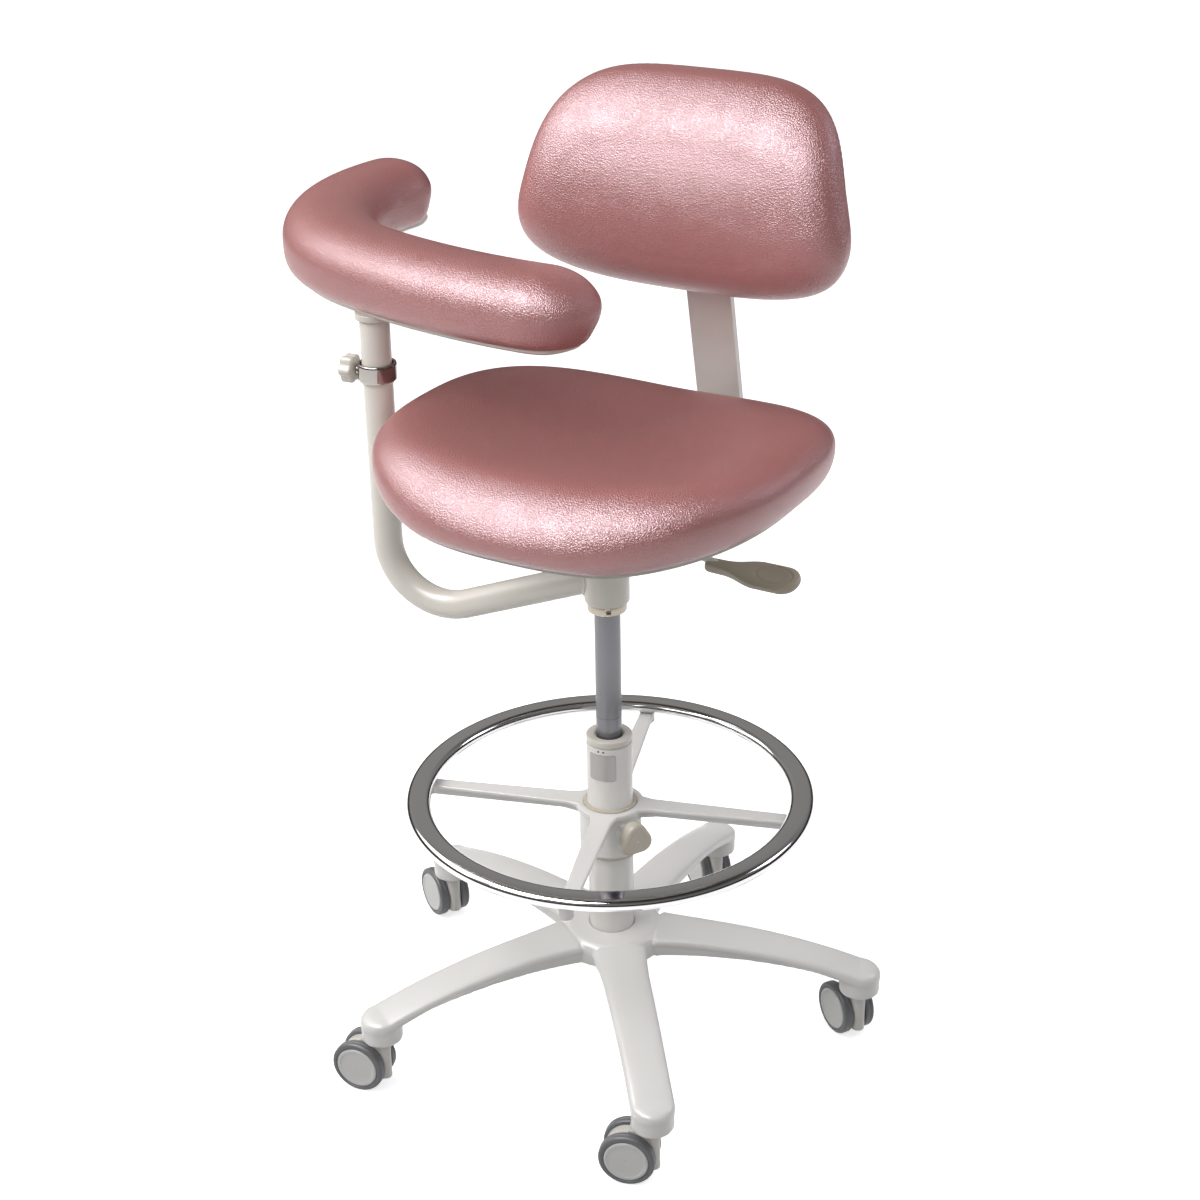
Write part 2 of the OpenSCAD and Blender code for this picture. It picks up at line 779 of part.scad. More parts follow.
module foot_ring() {
    color("silver") translate([0, 0, ring_z]) difference() {
        rotate_extrude($fn = 120) translate([arm_end_r, 0]) {
            square([ring_w - ring_h, ring_h], center = true);
            for (x = [-1, 1]) translate([x * (ring_w - ring_h) / 2, 0]) circle(d = ring_h, $fn = 64);
        }
        at_arms() translate([arm_end_r, 0, -ring_h / 2 - over])
            cylinder(h = ring_screw_bite + over, d = ring_screw_d, $fn = 48);
    }
}

module ring_screws() {
    color("gray") at_arms() translate([arm_end_r, 0, spider_top - arm_h]) {
        cylinder(h = arm_h + ring_screw_bite, d = ring_screw_d, $fn = 48);
        translate([0, 0, -ring_screw_head_h])
            cylinder(h = ring_screw_head_h, d = ring_screw_head_d, $fn = 48);
    }
}

module ring_knob() {
    lobe = ring_knob_d * ring_lobe_share;
    edge = ring_knob_h * ring_knob_edge_share;
    stud_start = spider_bore_d / 2 + run_gap;
    knob_start = spider_hub_d / 2 + knob_boss_l + ring_knob_gap;
    color("antiquewhite") rotate(ring_knob_turn) translate([0, 0, ring_knob_z]) rotate([0, 90, 0]) {
        translate([0, 0, stud_start])
            cylinder(h = knob_start - stud_start + over, d = ring_stud_d, $fn = 48);
        translate([0, 0, knob_start]) hull() for (k = [0:2]) rotate(180 + 120 * k) {
            translate([ring_knob_d / 2 - lobe, 0, edge])
                cylinder(h = ring_knob_h - 2 * edge, r = lobe, $fn = 32);
            translate([ring_knob_d / 2 - lobe, 0])
                cylinder(h = ring_knob_h, r = lobe * ring_lobe_edge_share, $fn = 32);
        }
    }
}

// Seat

function seat_xy(a, inset) =
    let (
        front = sin(a) < 0,
        depth = (front ? seat_front : seat_rear) - inset,
        corner = 2 / (front ? front_shape : rear_shape),
        x = (seat_w / 2 - inset) * signed_pow(cos(a), corner),
        y = depth * signed_pow(sin(a), corner),
        across = x / (seat_w / 2)
    )
    [x, front ? y : y - seat_notch * (1 - across * across) * y / depth];

// Height that the cushion's top loses at a place, for its two falls and its dish
function seat_sink(p) =
    let (
        ahead = max(0, -p.y / seat_front),
        behind = max(0, p.y / seat_rear),
        away = min(1, norm([p.x / (seat_w / 2), p.y / (p.y < 0 ? seat_front : seat_rear)]))
    )
    seat_fall * pow(ahead, 3) + rear_fall * behind * behind + seat_dish * pow(1 - away * away, 2);

// Height that the pan gains towards its sides and rear, outside its flat middle
function pan_share(v, whole) = max(0, abs(v) - seat_flat) / (whole - seat_flat);
function pan_lift(p) =
    side_lift * pow(pan_share(p.x, seat_w / 2), seat_lift_power)
    + (p.y < 0 ? 0 : rear_lift * pow(pan_share(p.y, seat_rear), seat_lift_power));

function top_lift(p) =
    side_lift * pow(p.x / (seat_w / 2), 2) + rear_lift * pow(max(0, p.y) / seat_rear, 2);

function seat_point(a, inset, z, scale_share) =
    let (
        p = scale_share * seat_xy(a, inset),
        up = ease(max(0, z) / seat_h)
    )
    [p.x, p.y + seat_back, seat_z + z + (1 - up) * pan_lift(p) + up * (top_lift(p) - seat_sink(p))];

function seat_ring(inset, z, scale_share) =
    [for (j = [0:SEAT_POINTS - 1]) seat_point(360 * j / SEAT_POINTS, inset, z, scale_share)];

module seat_cushion() {
    under = [for (share = pan_shares) seat_ring(shell_inset, 0, share)];
    low = [for (i = [0:seat_low_rings - 1]) let (b = 90 * i / seat_low_rings)
        seat_ring(seat_tuck * (1 - sin(b)), seat_low_share * seat_h * (1 - cos(b)), 1)];
    high = [for (i = [0:seat_high_rings]) let (b = 90 * i / seat_high_rings)
        seat_ring(
            seat_roll * (1 - cos(b)),
            seat_low_share * seat_h + (1 - seat_low_share) * seat_h * sin(b),
            1
        )];
    top = [for (share = seat_top_shares) seat_ring(seat_roll, seat_h, share)];
    color("rosybrown") loft(concat(under, low, high, top));
}

module at_seat_bolts() {
    for (x = [-1, 1], y = [-1, 1])
        translate([x * bolt_pitch_x / 2, seat_back + y * bolt_pitch_y / 2, plate_z]) children();
}

module seat_shell() {
    last = len(pan_shares) - 1;
    color("gainsboro") difference() {
        loft(concat(
            [for (share = pan_shares) seat_ring(shell_inset, 0, share)],
            [for (i = [last:-1:0]) seat_ring(shell_inset, -shell_t, pan_shares[i])]
        ), downward = true);
        at_seat_bolts() cylinder(h = mech_plate_t + shell_t + over, d = bolt_d, $fn = 48);
    }
}

module seat_bolts() {
    color("gray") {
        at_seat_bolts() {
            cylinder(h = mech_plate_t + shell_t, d = bolt_d, $fn = 48);
            translate([0, 0, -bolt_head_h]) cylinder(h = bolt_head_h, d = bolt_head_d, $fn = 48);
        }
        rotate(set_screw_turn) translate([tube_d / 2, 0, collar_ring_z + collar_ring_h / 2])
            rotate([0, 90, 0])
                cylinder(h = (collar_ring_d - tube_d) / 2 - clip_t, d = set_screw_d, $fn = 32);
    }
}

module seat_mechanism() {
    slot_w = bar_w + 2 * guide_slot_gap;
    slot_h = bar_t + 2 * guide_slot_gap;
    color("whitesmoke") difference() {
        union() {
            difference() {
                translate([-box_w / 2, -box_l / 2, box_z]) cube([box_w, box_l, box_h]);
                translate([-box_w / 2 + box_wall, -box_l / 2 + box_wall, box_z + box_wall])
                    cube([box_w - 2 * box_wall, box_l - 2 * box_wall, box_h]);
            }
            translate([-mech_plate_w / 2, seat_back - mech_plate_l / 2, plate_z])
                cube([mech_plate_w, mech_plate_l, mech_plate_t]);
            translate([0, 0, hub_socket_z])
                cylinder(h = tube_top - hub_socket_z, d = hub_socket_d, $fn = 96);
            translate([-slot_w / 2 - guide_wall, box_l / 2 - box_wall, box_z])
                cube([slot_w + 2 * guide_wall, guide_l + box_wall, box_h]);
            translate([lever_hinge_x, 0, lever_hinge_z]) rotate([90, 0, 0])
                cylinder(h = box_l - box_wall, d = lever_pin_d, center = true, $fn = 48);
        }
        translate([0, 0, hub_socket_z - over])
            cylinder(h = tube_top - hub_socket_z + 2 * over, d = tube_d, $fn = 96);
        translate([-slot_w / 2, bar_front, bar_z - slot_h / 2]) cube([slot_w, guide_l + box_l, slot_h]);
        translate([box_w / 2 - box_wall - over, -lever_slot_w / 2, box_z + box_wall])
            cube([box_wall + 2 * over, lever_slot_w, box_h - box_wall]);
        translate([0, bar_knob_y, box_z - over])
            cylinder(h = bar_z - box_z, d = bar_stud_d + 2 * run_gap, $fn = 48);
        at_seat_bolts() translate([0, 0, -over])
            cylinder(h = mech_plate_t + 2 * over, d = bolt_d, $fn = 48);
    }
}

// Lever

module lever_rod() {
    hinge = [lever_hinge_x, 0, lever_hinge_z];
    knee = [lever_knee_x, 0, lever_knee_z];
    color("ivory") difference() {
        union() {
            translate(hinge) rotate([90, 0, 0])
                cylinder(h = lever_sleeve_l, d = lever_sleeve_d, center = true, $fn = 64);
            rod_between([-pin_d / 2, 0, lever_hinge_z], hinge, lever_d);
            rod_between(hinge, knee, lever_d);
            translate(knee) sphere(d = lever_d + 2 * draw, $fn = 48);
            rod_between(knee, [lever_reach - paddle_l + lever_in_paddle, 0, paddle_z], lever_d);
        }
        translate(hinge) rotate([90, 0, 0])
            cylinder(h = lever_sleeve_l + 2 * over, d = lever_pin_d + 2 * run_gap, center = true, $fn = 48);
    }
}

module paddle_disc(x, w, h) {
    translate([x, 0, paddle_z - h / 2]) cylinder(h = h, d = w, $fn = 32);
}

module lever_paddle() {
    neck_w = paddle_w * paddle_neck_share;
    tip_x = lever_reach - paddle_w / 2;
    grip_x = lever_reach - paddle_l * paddle_grip_share;
    waist_x = lever_reach - paddle_l * paddle_waist_share;
    neck_x = lever_reach - paddle_l + neck_w / 2;
    color("antiquewhite") difference() {
        union() {
            hull() for (x = [tip_x, grip_x]) {
                paddle_disc(x, paddle_w, paddle_t / 2);
                paddle_disc(x, paddle_w * paddle_face_share, paddle_t);
            }
            hull() {
                paddle_disc(waist_x, neck_w, paddle_t);
                paddle_disc(grip_x, paddle_w * paddle_waist_w_share, paddle_t / 2);
                paddle_disc(neck_x, neck_w, paddle_t * paddle_face_share);
                paddle_disc(neck_x, neck_w * paddle_face_share, paddle_t);
            }
        }
        rod_between(
            [lever_knee_x, 0, lever_knee_z],
            [lever_reach - paddle_l + lever_in_paddle, 0, paddle_z],
            lever_d
        );
    }
}

// Body support

module arm_path(d, low_over, high_over) {
    slope = [cos(arm_fall), 0, -sin(arm_fall)];
    start = [arm_run_start, 0, arm_run_z];
    stop = [arm_run_end, 0, arm_bend_z - arm_bend * cos(arm_fall)];
    rod_between(start - low_over * slope, stop + lap * slope, d);
    translate([arm_bend_x, 0, arm_bend_z]) rotate([90, 0, 0]) rotate(-arm_bend_turn)
        rotate_extrude(angle = arm_bend_turn, $fn = 96) translate([arm_bend, 0])
            circle(d = d - draw, $fn = 64);
    translate([arm_reach, 0, arm_bend_z - lap])
        cylinder(h = arm_tube_top - arm_bend_z + lap + high_over, d = d, $fn = 64);
}

module support_arm() {
    bore = arm_tube_d - 2 * arm_tube_wall;
    color("ivory") rotate(arm_turn) difference() {
        union() {
            translate([0, 0, collar_z]) cylinder(h = collar_h, d = collar_d, $fn = 96);
            arm_path(arm_tube_d, 0, 0);
            translate([arm_reach, 0, clamp_z - cup_drop])
                cylinder(h = arm_tube_top - clamp_z + cup_drop, d = cup_d, $fn = 64);
        }
        arm_path(bore, -collar_d / 4, over);
        translate([0, 0, collar_z - over])
            cylinder(h = collar_h + 2 * over, d = tube_d + 2 * run_gap, $fn = 96);
        translate([arm_reach, 0, clamp_stud_z]) rotate(clamp_turn - arm_turn) rotate([0, 90, 0])
            cylinder(h = cup_d, d = clamp_stud_d + 2 * run_gap, $fn = 48);
    }
}

module at_post() {
    translate([arm_reach * cos(arm_turn), arm_reach * sin(arm_turn), 0]) children();
}

module arm_clamp() {
    outer = cup_d + 2 * clamp_t;
    color("silver") at_post() difference() {
        union() {
            translate([0, 0, clamp_z]) cylinder(h = clamp_h, d = outer, $fn = 96);
            translate([0, 0, clamp_stud_z]) rotate(clamp_turn) rotate([0, 90, 0])
                cylinder(h = outer / 2 + clamp_boss_l, d = clamp_boss_d, $fn = 48);
        }
        translate([0, 0, clamp_z - over]) cylinder(h = clamp_h + 2 * over, d = cup_d, $fn = 96);
        translate([0, 0, clamp_stud_z]) rotate(clamp_turn) rotate([0, 90, 0])
            cylinder(h = outer, d = clamp_stud_d + 2 * run_gap, $fn = 48);
    }
}

module arm_clamp_knob() {
    start = spigot_d / 2 + run_gap;
    knob = cup_d / 2 + clamp_t + clamp_boss_l + clamp_knob_gap;
    color("white") at_post() translate([0, 0, clamp_stud_z]) rotate(clamp_turn) rotate([0, 90, 0]) {
        translate([0, 0, start]) cylinder(h = knob - start + over, d = clamp_stud_d, $fn = 48);
        translate([0, 0, knob]) lobed_knob(clamp_knob_d, clamp_knob_h, 6, clamp_knob_d * grip_share);
    }
}

module arm_post() {
    color("ivory") at_post() {
        translate([0, 0, post_z - spigot_l]) cylinder(h = spigot_l + over, d = spigot_d, $fn = 64);
        translate([0, 0, post_z]) cylinder(h = post_top - post_z, d = arm_tube_d, $fn = 64);
        translate([0, 0, post_top - over]) cylinder(h = post_pin_l + over, d = post_pin_d, $fn = 64);
    }
}

// Arm pad: the middle line runs from the near end along two arcs

pad_heading = 186;
pad_near_share = 1.3;
pad_far_share = 0.96;
pad_near_end = pad_near_share * pad_w / 2;
pad_far_end = pad_far_share * pad_w / 2;
pad_mid_share = 0.42;
pad_end_h_share = 0.35;
pad_flat = 5;
pad_top_share = 0.88;
pad_side_share = 0.5;
long_l = 2 * PI * pad_long_r * pad_long_sweep / 360;
tight_l = 2 * PI * pad_tight_r * pad_tight_sweep / 360;
pad_l = long_l + tight_l;

// A step along an arc of radius r that starts at p with a heading and turns to the right
function arc_step(p, heading, r, l) =
    let (sweep = 360 * l / (2 * PI * r))
    [
        p.x + r * (sin(heading) - sin(heading - sweep)),
        p.y - r * (cos(heading) - cos(heading - sweep)),
        heading - sweep
    ];

pad_start = [pad_near, pad_behind];
pad_change = arc_step(pad_start, pad_heading, pad_long_r, long_l);

// Place and heading of the middle line at a distance from its near end
function pad_at(l) = l < long_l
    ? arc_step(pad_start, pad_heading, pad_long_r, l)
    : arc_step(pad_change, pad_change.z, pad_tight_r, l - long_l);

function pad_swell(l) =
    let (near = min(1, l / pad_near_end, (pad_l - l) / pad_far_end))
    sqrt(max(0, 1 - pow(1 - near, 2)));

function pad_half(l) = pad_w / 2 * (1 + pad_taper_share * (1 - 2 * l / pad_l)) * pad_swell(l);

function pad_section(l) =
    let (
        p = pad_at(l),
        half = pad_half(l),
        rise = (pad_end_h_share + (1 - pad_end_h_share) * pad_swell(l)) * pad_h
    )
    [for (j = [0:PAD_POINTS - 1]) let (
        a = 360 * j / PAD_POINTS,
        low = sin(a) < 0,
        side = half * signed_pow(cos(a), low ? pad_side_share : pad_top_share),
        reach = low ? pad_mid_share * rise + pad_flat : (1 - pad_mid_share) * rise,
        up = pad_mid_share * rise + reach * signed_pow(sin(a), low ? pad_side_share : pad_top_share)
    ) [p.x - side * sin(p.z), p.y + side * cos(p.z), pad_z + max(0, up)]];

module arm_pad() {
    ends = [for (i = [1:PAD_END_RINGS]) 1 - cos(90 * i / PAD_END_RINGS)];
    near = pad_near_end * ends;
    run = [for (i = [1:PAD_RINGS - 1]) pad_near_end + (pad_l - pad_near_end - pad_far_end) * i / PAD_RINGS];
    far = [for (i = [PAD_END_RINGS:-1:1]) pad_l - pad_far_end * ends[i - 1]];
    color("rosybrown") at_post() loft([for (l = concat(near, run, far)) pad_section(l)]);
}

function plate_edge(l, side) =
    let (p = pad_at(l), half = side * max(0, pad_half(l) - plate_inset))
    [p.x - half * sin(p.z), p.y + half * cos(p.z)];

module arm_plate() {
    stops = [for (i = [0:PLATE_POINTS]) plate_margin + (pad_l - 2 * plate_margin) * ease(i / PLATE_POINTS)];
    outline = concat(
        [for (l = stops) plate_edge(l, 1)],
        [for (i = [PLATE_POINTS:-1:0]) plate_edge(stops[i], -1)]
    );
    color("ivory") at_post() difference() {
        union() {
            translate([0, 0, plate_low]) linear_extrude(plate_t) polygon(outline);
            translate([0, 0, plate_low - socket_h]) cylinder(h = socket_h + plate_t, d = socket_d, $fn = 64);
        }
        translate([0, 0, plate_low - socket_h - over])
            cylinder(h = socket_h + plate_t + 2 * over, d = post_pin_d + 2 * run_gap, $fn = 64);
        at_arm_screws() cylinder(h = plate_t + 2 * over, d = arm_screw_d, $fn = 32);
    }
}

arm_screw_shares = [0.16, 0.62, 0.88];

module at_arm_screws() {
    for (share = arm_screw_shares) let (p = pad_at(share * pad_l))
        translate([p.x, p.y, plate_low - over]) children();
}

module arm_screws() {
    color("gray") at_post() at_arm_screws() translate([0, 0, over]) {
        cylinder(h = plate_t + arm_screw_bite, d = arm_screw_d, $fn = 32);
        translate([0, 0, -arm_screw_head_h]) cylinder(h = arm_screw_head_h, d = arm_screw_head_d, $fn = 32);
    }
}

// Back bar and backrest

bend_rise = bar_z + bar_mid_bend * (1 + sin(bar_lean)) - shell_z;
bend_y = bar_back - bar_mid_bend * cos(bar_lean) - bend_rise * tan(bar_lean);
bar_up_start = bend_rise / cos(bar_lean);
bar_above_bracket = 14;
bar_up_end = bracket_z + bracket_h / 2 + bar_above_bracket;

module back_bar() {
    color("ivory") {
        translate([-bar_w / 2, bar_front, bar_z - bar_t / 2]) cube([bar_w, bend_y + lap - bar_front, bar_t]);
        translate([0, bend_y, bar_z + bar_mid_bend]) rotate([90, 0, 90]) rotate(-90)
            rotate_extrude(angle = 90 + bar_lean, $fn = 96) translate([bar_mid_bend, 0])
                square([bar_t - draw, bar_w - draw], center = true);
        at_back() translate([-bar_w / 2, -bar_t / 2, bar_up_start - lap])
            cube([bar_w, bar_t, bar_up_end - bar_up_start + lap]);
    }
}

// The frame along the bar's upper part, with +Z up the bar
module at_back() {
    translate([0, bar_back, shell_z]) rotate([bar_lean, 0, 0]) children();
}

module back_bar_knob() {
    stud_top = bar_z - bar_t / 2 - run_gap;
    knob_top = box_z - bar_knob_gap;
    color("dimgray") translate([0, bar_knob_y, 0]) {
        translate([0, 0, knob_top - over])
            cylinder(h = stud_top - knob_top + over, d = bar_stud_d, $fn = 48);
        translate([0, 0, knob_top]) mirror([0, 0, 1])
            lobed_knob(bar_knob_d, bar_knob_h, 5, bar_knob_d * grip_share);
    }
}

back_low_share = 0.42;
back_roll = 52;
back_tuck = 6.5;
shell_back_inset = 9;
back_low_rings = 3;
back_high_rings = 6;
back_front_shares = [0.68, 0.4, 0.15, 0.03];
back_pan_shares = [0.04, 0.38, 0.7, 1];
back_crown = 4;

function back_uv(a, inset, scale_share) =
    let (
        corner = 2 / (sin(a) > 0 ? back_top_shape : back_low_shape),
        v = scale_share * (back_h / 2 - inset) * signed_pow(sin(a), corner),
        widen = 1 - back_taper_share * v / (back_h / 2)
    )
    [scale_share * widen * (back_w / 2 - inset) * signed_pow(cos(a), corner), v];

// Distance that a place on the backrest lies behind the plane of its middle
function back_curve(p) =
    let (up = p.y / (back_h / 2))
    back_bulge * up * up + back_tilt * up - back_wrap * pow(p.x / (back_w / 2), 2);

// A ring at a depth in front of the shell's rear face
function back_ring(inset, depth, scale_share) =
    [for (j = [0:BACK_POINTS - 1]) let (p = back_uv(360 * j / BACK_POINTS, inset, scale_share))
        [p.x, back_curve(p) - shell_back_gap - depth, back_rise + p.y]];

module back_shell() {
    inner = bar_w / 2 + guide_slot_gap;
    rear = bar_t / 2 + guide_slot_gap;
    last = len(back_pan_shares) - 1;
    color("ivory") at_back() difference() {
        union() {
            loft(concat(
                [for (share = back_pan_shares) back_ring(shell_back_inset, shell_back_t, share)],
                [for (i = [last:-1:0]) back_ring(shell_back_inset, 0, back_pan_shares[i])]
            ), downward = true);
            translate([-inner - bracket_wall, -bracket_reach, bracket_z - bracket_h / 2])
                cube([2 * (inner + bracket_wall), bracket_reach + rear + bracket_wall, bracket_h]);
        }
        translate([-inner, -rear, bracket_z - bracket_h / 2 - over])
            cube([2 * inner, 2 * rear, bracket_h + 2 * over]);
        translate([0, 0, bracket_z]) rotate([-90, 0, 0])
            cylinder(h = bar_w, d = back_stud_d + 2 * run_gap, $fn = 48);
    }
}

module back_cushion() {
    rear = [for (share = back_pan_shares) back_ring(shell_back_inset, shell_back_t, share)];
    low = [for (i = [0:back_low_rings - 1]) let (b = 90 * i / back_low_rings)
        back_ring(back_tuck * (1 - sin(b)), shell_back_t + back_low_share * back_t * (1 - cos(b)), 1)];
    high = [for (i = [0:back_high_rings]) let (b = 90 * i / back_high_rings)
        back_ring(
            back_roll * (1 - cos(b)),
            shell_back_t + back_low_share * back_t + (1 - back_low_share) * back_t * sin(b),
            1
        )];
    front = [for (share = back_front_shares)
        back_ring(back_roll, shell_back_t + back_t + back_crown * (1 - share * share), share)];
    color("rosybrown") at_back() loft(concat(rear, low, high, front));
}

module back_knob() {
    stud_start = bar_t / 2 + run_gap;
    knob = bar_t / 2 + guide_slot_gap + bracket_wall + back_knob_gap;
    color("dimgray") at_back() translate([0, 0, bracket_z]) rotate([-90, 0, 0]) {
        translate([0, 0, stud_start]) cylinder(h = knob - stud_start + over, d = back_stud_d, $fn = 48);
        translate([0, 0, knob]) lobed_knob(back_knob_d, back_knob_h, 5, back_knob_d * grip_share);
    }
}

star_base();
column_tube();
column_bush();
column_plate();
caster_stems();
thrust_bearing();
retaining_clip();
piston_rod();
ring_bush();
ring_spider();
foot_ring();
ring_screws();
ring_knob();
pressure_tube();
collar_ring();
seat_mechanism();
seat_shell();
seat_cushion();
seat_bolts();
release_pin();
lever_rod();
lever_paddle();
support_arm();
arm_clamp();
arm_clamp_knob();
arm_post();
arm_plate();
arm_pad();
arm_screws();
back_bar();
back_bar_knob();
back_shell();
back_cushion();
back_knob();
for (i = [1:LEGS]) {
    caster_hood(i);
    caster_disc(i, 1);
    caster_disc(i, -1);
    caster_tyre(i, 1);
    caster_tyre(i, -1);
}
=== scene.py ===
"""Dental operator stool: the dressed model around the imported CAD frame, in metres.

The origin is on the floor under the column, with +Z up. The sitter faces -Y, the backrest stands on +Y
and the sitter's left hand is on +X.
"""

from __future__ import annotations

import json
import logging
import math
from dataclasses import dataclass
from enum import Enum
from typing import Callable, Iterable, Sequence

import bmesh
import bpy
import numpy as np
from mathutils import Matrix, Vector

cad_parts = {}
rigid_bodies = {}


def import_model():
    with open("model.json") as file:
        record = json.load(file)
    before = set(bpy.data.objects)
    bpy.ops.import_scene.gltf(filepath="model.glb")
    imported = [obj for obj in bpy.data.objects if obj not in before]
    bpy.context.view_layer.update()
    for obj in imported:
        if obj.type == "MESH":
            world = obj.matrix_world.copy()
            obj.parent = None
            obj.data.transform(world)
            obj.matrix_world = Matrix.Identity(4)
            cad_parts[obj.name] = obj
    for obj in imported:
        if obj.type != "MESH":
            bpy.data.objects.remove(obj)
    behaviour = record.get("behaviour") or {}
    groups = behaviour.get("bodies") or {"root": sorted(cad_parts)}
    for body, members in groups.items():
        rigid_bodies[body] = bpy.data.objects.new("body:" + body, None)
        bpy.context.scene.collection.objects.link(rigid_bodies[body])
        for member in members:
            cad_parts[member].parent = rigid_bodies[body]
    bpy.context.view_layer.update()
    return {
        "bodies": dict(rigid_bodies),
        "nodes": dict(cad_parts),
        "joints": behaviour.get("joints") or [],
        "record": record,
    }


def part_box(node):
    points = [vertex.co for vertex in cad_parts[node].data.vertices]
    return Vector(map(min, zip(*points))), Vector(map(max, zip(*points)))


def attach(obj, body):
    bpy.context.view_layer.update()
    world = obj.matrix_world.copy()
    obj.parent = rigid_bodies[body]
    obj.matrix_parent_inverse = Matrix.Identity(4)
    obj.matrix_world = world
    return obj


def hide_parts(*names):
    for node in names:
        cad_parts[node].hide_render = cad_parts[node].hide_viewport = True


LOG = logging.getLogger("stool")

Point = tuple[float, float]
Point3 = tuple[float, float, float]
Colour = tuple[float, float, float]

TAU = 2 * math.pi
SEAM_MERGE = 1e-6
SHARP_ANGLE = math.radians(40)
GATHER_START = 0.0015
GATHER_RUN = 0.012
LIFT_BORE_R = 0.01405
GLOSS_ONLY = "gloss_softbox"
BEVEL_ANGLE = math.radians(42)


# --------------------------------------------------------------------------- shader effects


class Relief(Enum):
    """How a finish stands up from its surface."""

    PEEL = "moulded_peel"
    LEATHER = "vinyl_grain"
    LINES = "drawn_lines"


class Wiring:
    """Adds and joins nodes in one node tree."""

    def __init__(self, tree: bpy.types.NodeTree) -> None:
        """Keeps the tree.

        Args:
            tree: The node tree that is wired.
        """
        self.tree = tree

    def node(self, kind: str, feeds: dict[str | int, object] | None = None,
             **settings: object) -> bpy.types.Node:
        """Adds a node.

        Args:
            kind: The node's type name.
            feeds: A socket or a plain value for each named or numbered input.
            settings: The node's own options.

        Returns:
            The new node.
        """
        made = self.tree.nodes.new(kind)
        for name, value in settings.items():  # these come first: they decide which inputs there are
            setattr(made, name, value)
        for key, value in (feeds or {}).items():
            if isinstance(value, bpy.types.NodeSocket):
                self.tree.links.new(value, made.inputs[key])
            else:
                made.inputs[key].default_value = value
        return made

    def math(self, operation: str, *values: object) -> bpy.types.NodeSocket:
        """Adds a Math node and returns its output.

        Args:
            operation: The Math node's operation.
            values: A socket or a number for each input.

        Returns:
            The result's socket.
        """
        return self.node("ShaderNodeMath", dict(enumerate(values)), operation=operation).outputs[0]

    def remap(self, value: bpy.types.NodeSocket, low: float, high: float, first: object,
              last: object) -> bpy.types.NodeSocket:
        """Maps a value from one range to another, held at both ends.

        Args:
            value: The value that is mapped.
            low: Where the first range starts.
            high: Where the first range ends.
            first: What low becomes.
            last: What high becomes.

        Returns:
            The result's socket.
        """
        feeds = {"Value": value, "From Min": low, "From Max": high, "To Min": first, "To Max": last}
        return self.node("ShaderNodeMapRange", feeds).outputs["Result"]

    def mix(self, share: object, first: object, last: object) -> bpy.types.NodeSocket:
        """Mixes two colours and returns the result's socket."""
        feeds = {0: share, 6: first, 7: last}
        return self.node("ShaderNodeMix", feeds, data_type="RGBA").outputs[2]

    def place(self, size: object, stretch: Sequence[float] = (1, 1, 1)) -> bpy.types.NodeSocket:
        """Gives the object's own coordinates in units of a size.

        Args:
            size: The length that becomes one unit, in metres.
            stretch: A factor for each axis.

        Returns:
            The coordinates' socket.
        """
        own = self.node("ShaderNodeTexCoord").outputs["Object"]
        spread = self.node("ShaderNodeVectorMath", {0: own, 1: tuple(stretch)}, operation="MULTIPLY")
        feeds = {0: spread.outputs[0], "Scale": self.math("DIVIDE", 1.0, size)}
        return self.node("ShaderNodeVectorMath", feeds, operation="SCALE").outputs[0]

    def noise(self, place: bpy.types.NodeSocket, detail: float,
              roughness: float = 0.5) -> bpy.types.NodeSocket:
        """Adds a noise texture and returns its value's socket."""
        feeds = {"Vector": place, "Scale": 1.0, "Detail": detail, "Roughness": roughness}
        return self.node("ShaderNodeTexNoise", feeds).outputs[0]


def blank_tree(owner: bpy.types.Material | bpy.types.World) -> Wiring:
    """Empties the node tree of a material or world and returns its wiring.

    Args:
        owner: The material or world.

    Returns:
        The wiring of its empty tree.
    """
    owner.use_nodes = True
    owner.node_tree.nodes.clear()
    return Wiring(owner.node_tree)


SOCKETS = {float: "NodeSocketFloat", tuple: "NodeSocketColor"}


def effect_group(name: str, inputs: dict[str, object], output: str, kind: str,
                 wire: Callable[[Wiring, dict], bpy.types.NodeSocket]) -> bpy.types.NodeTree:
    """Builds a shader node group once, and returns it each time after that.

    Args:
        name: The group's name.
        inputs: Each input's name and default.
        output: The output's name.
        kind: The output's socket type.
        wire: Wires the inside and returns the socket that is put out.

    Returns:
        The group.
    """
    found = bpy.data.node_groups.get(name)
    if found:
        return found
    tree = bpy.data.node_groups.new(name, "ShaderNodeTree")
    for label, default in inputs.items():
        socket = tree.interface.new_socket(name=label, in_out="INPUT", socket_type=SOCKETS[type(default)])
        socket.default_value = default
    tree.interface.new_socket(name=output, in_out="OUTPUT", socket_type=kind)
    wiring = Wiring(tree)
    entry = wiring.node("NodeGroupInput")
    made = wire(wiring, {label: entry.outputs[label] for label in inputs})
    wiring.node("NodeGroupOutput", {output: made})
    return tree


def soft_mottle(w: Wiring, given: dict) -> bpy.types.NodeSocket:
    """Drifts slowly from one colour to another."""
    drift = w.noise(w.place(given["Size"]), 1.5)
    return w.mix(w.remap(drift, 0.2, 0.8, 0.0, 1.0), given["Colour"], given["Deeper"])


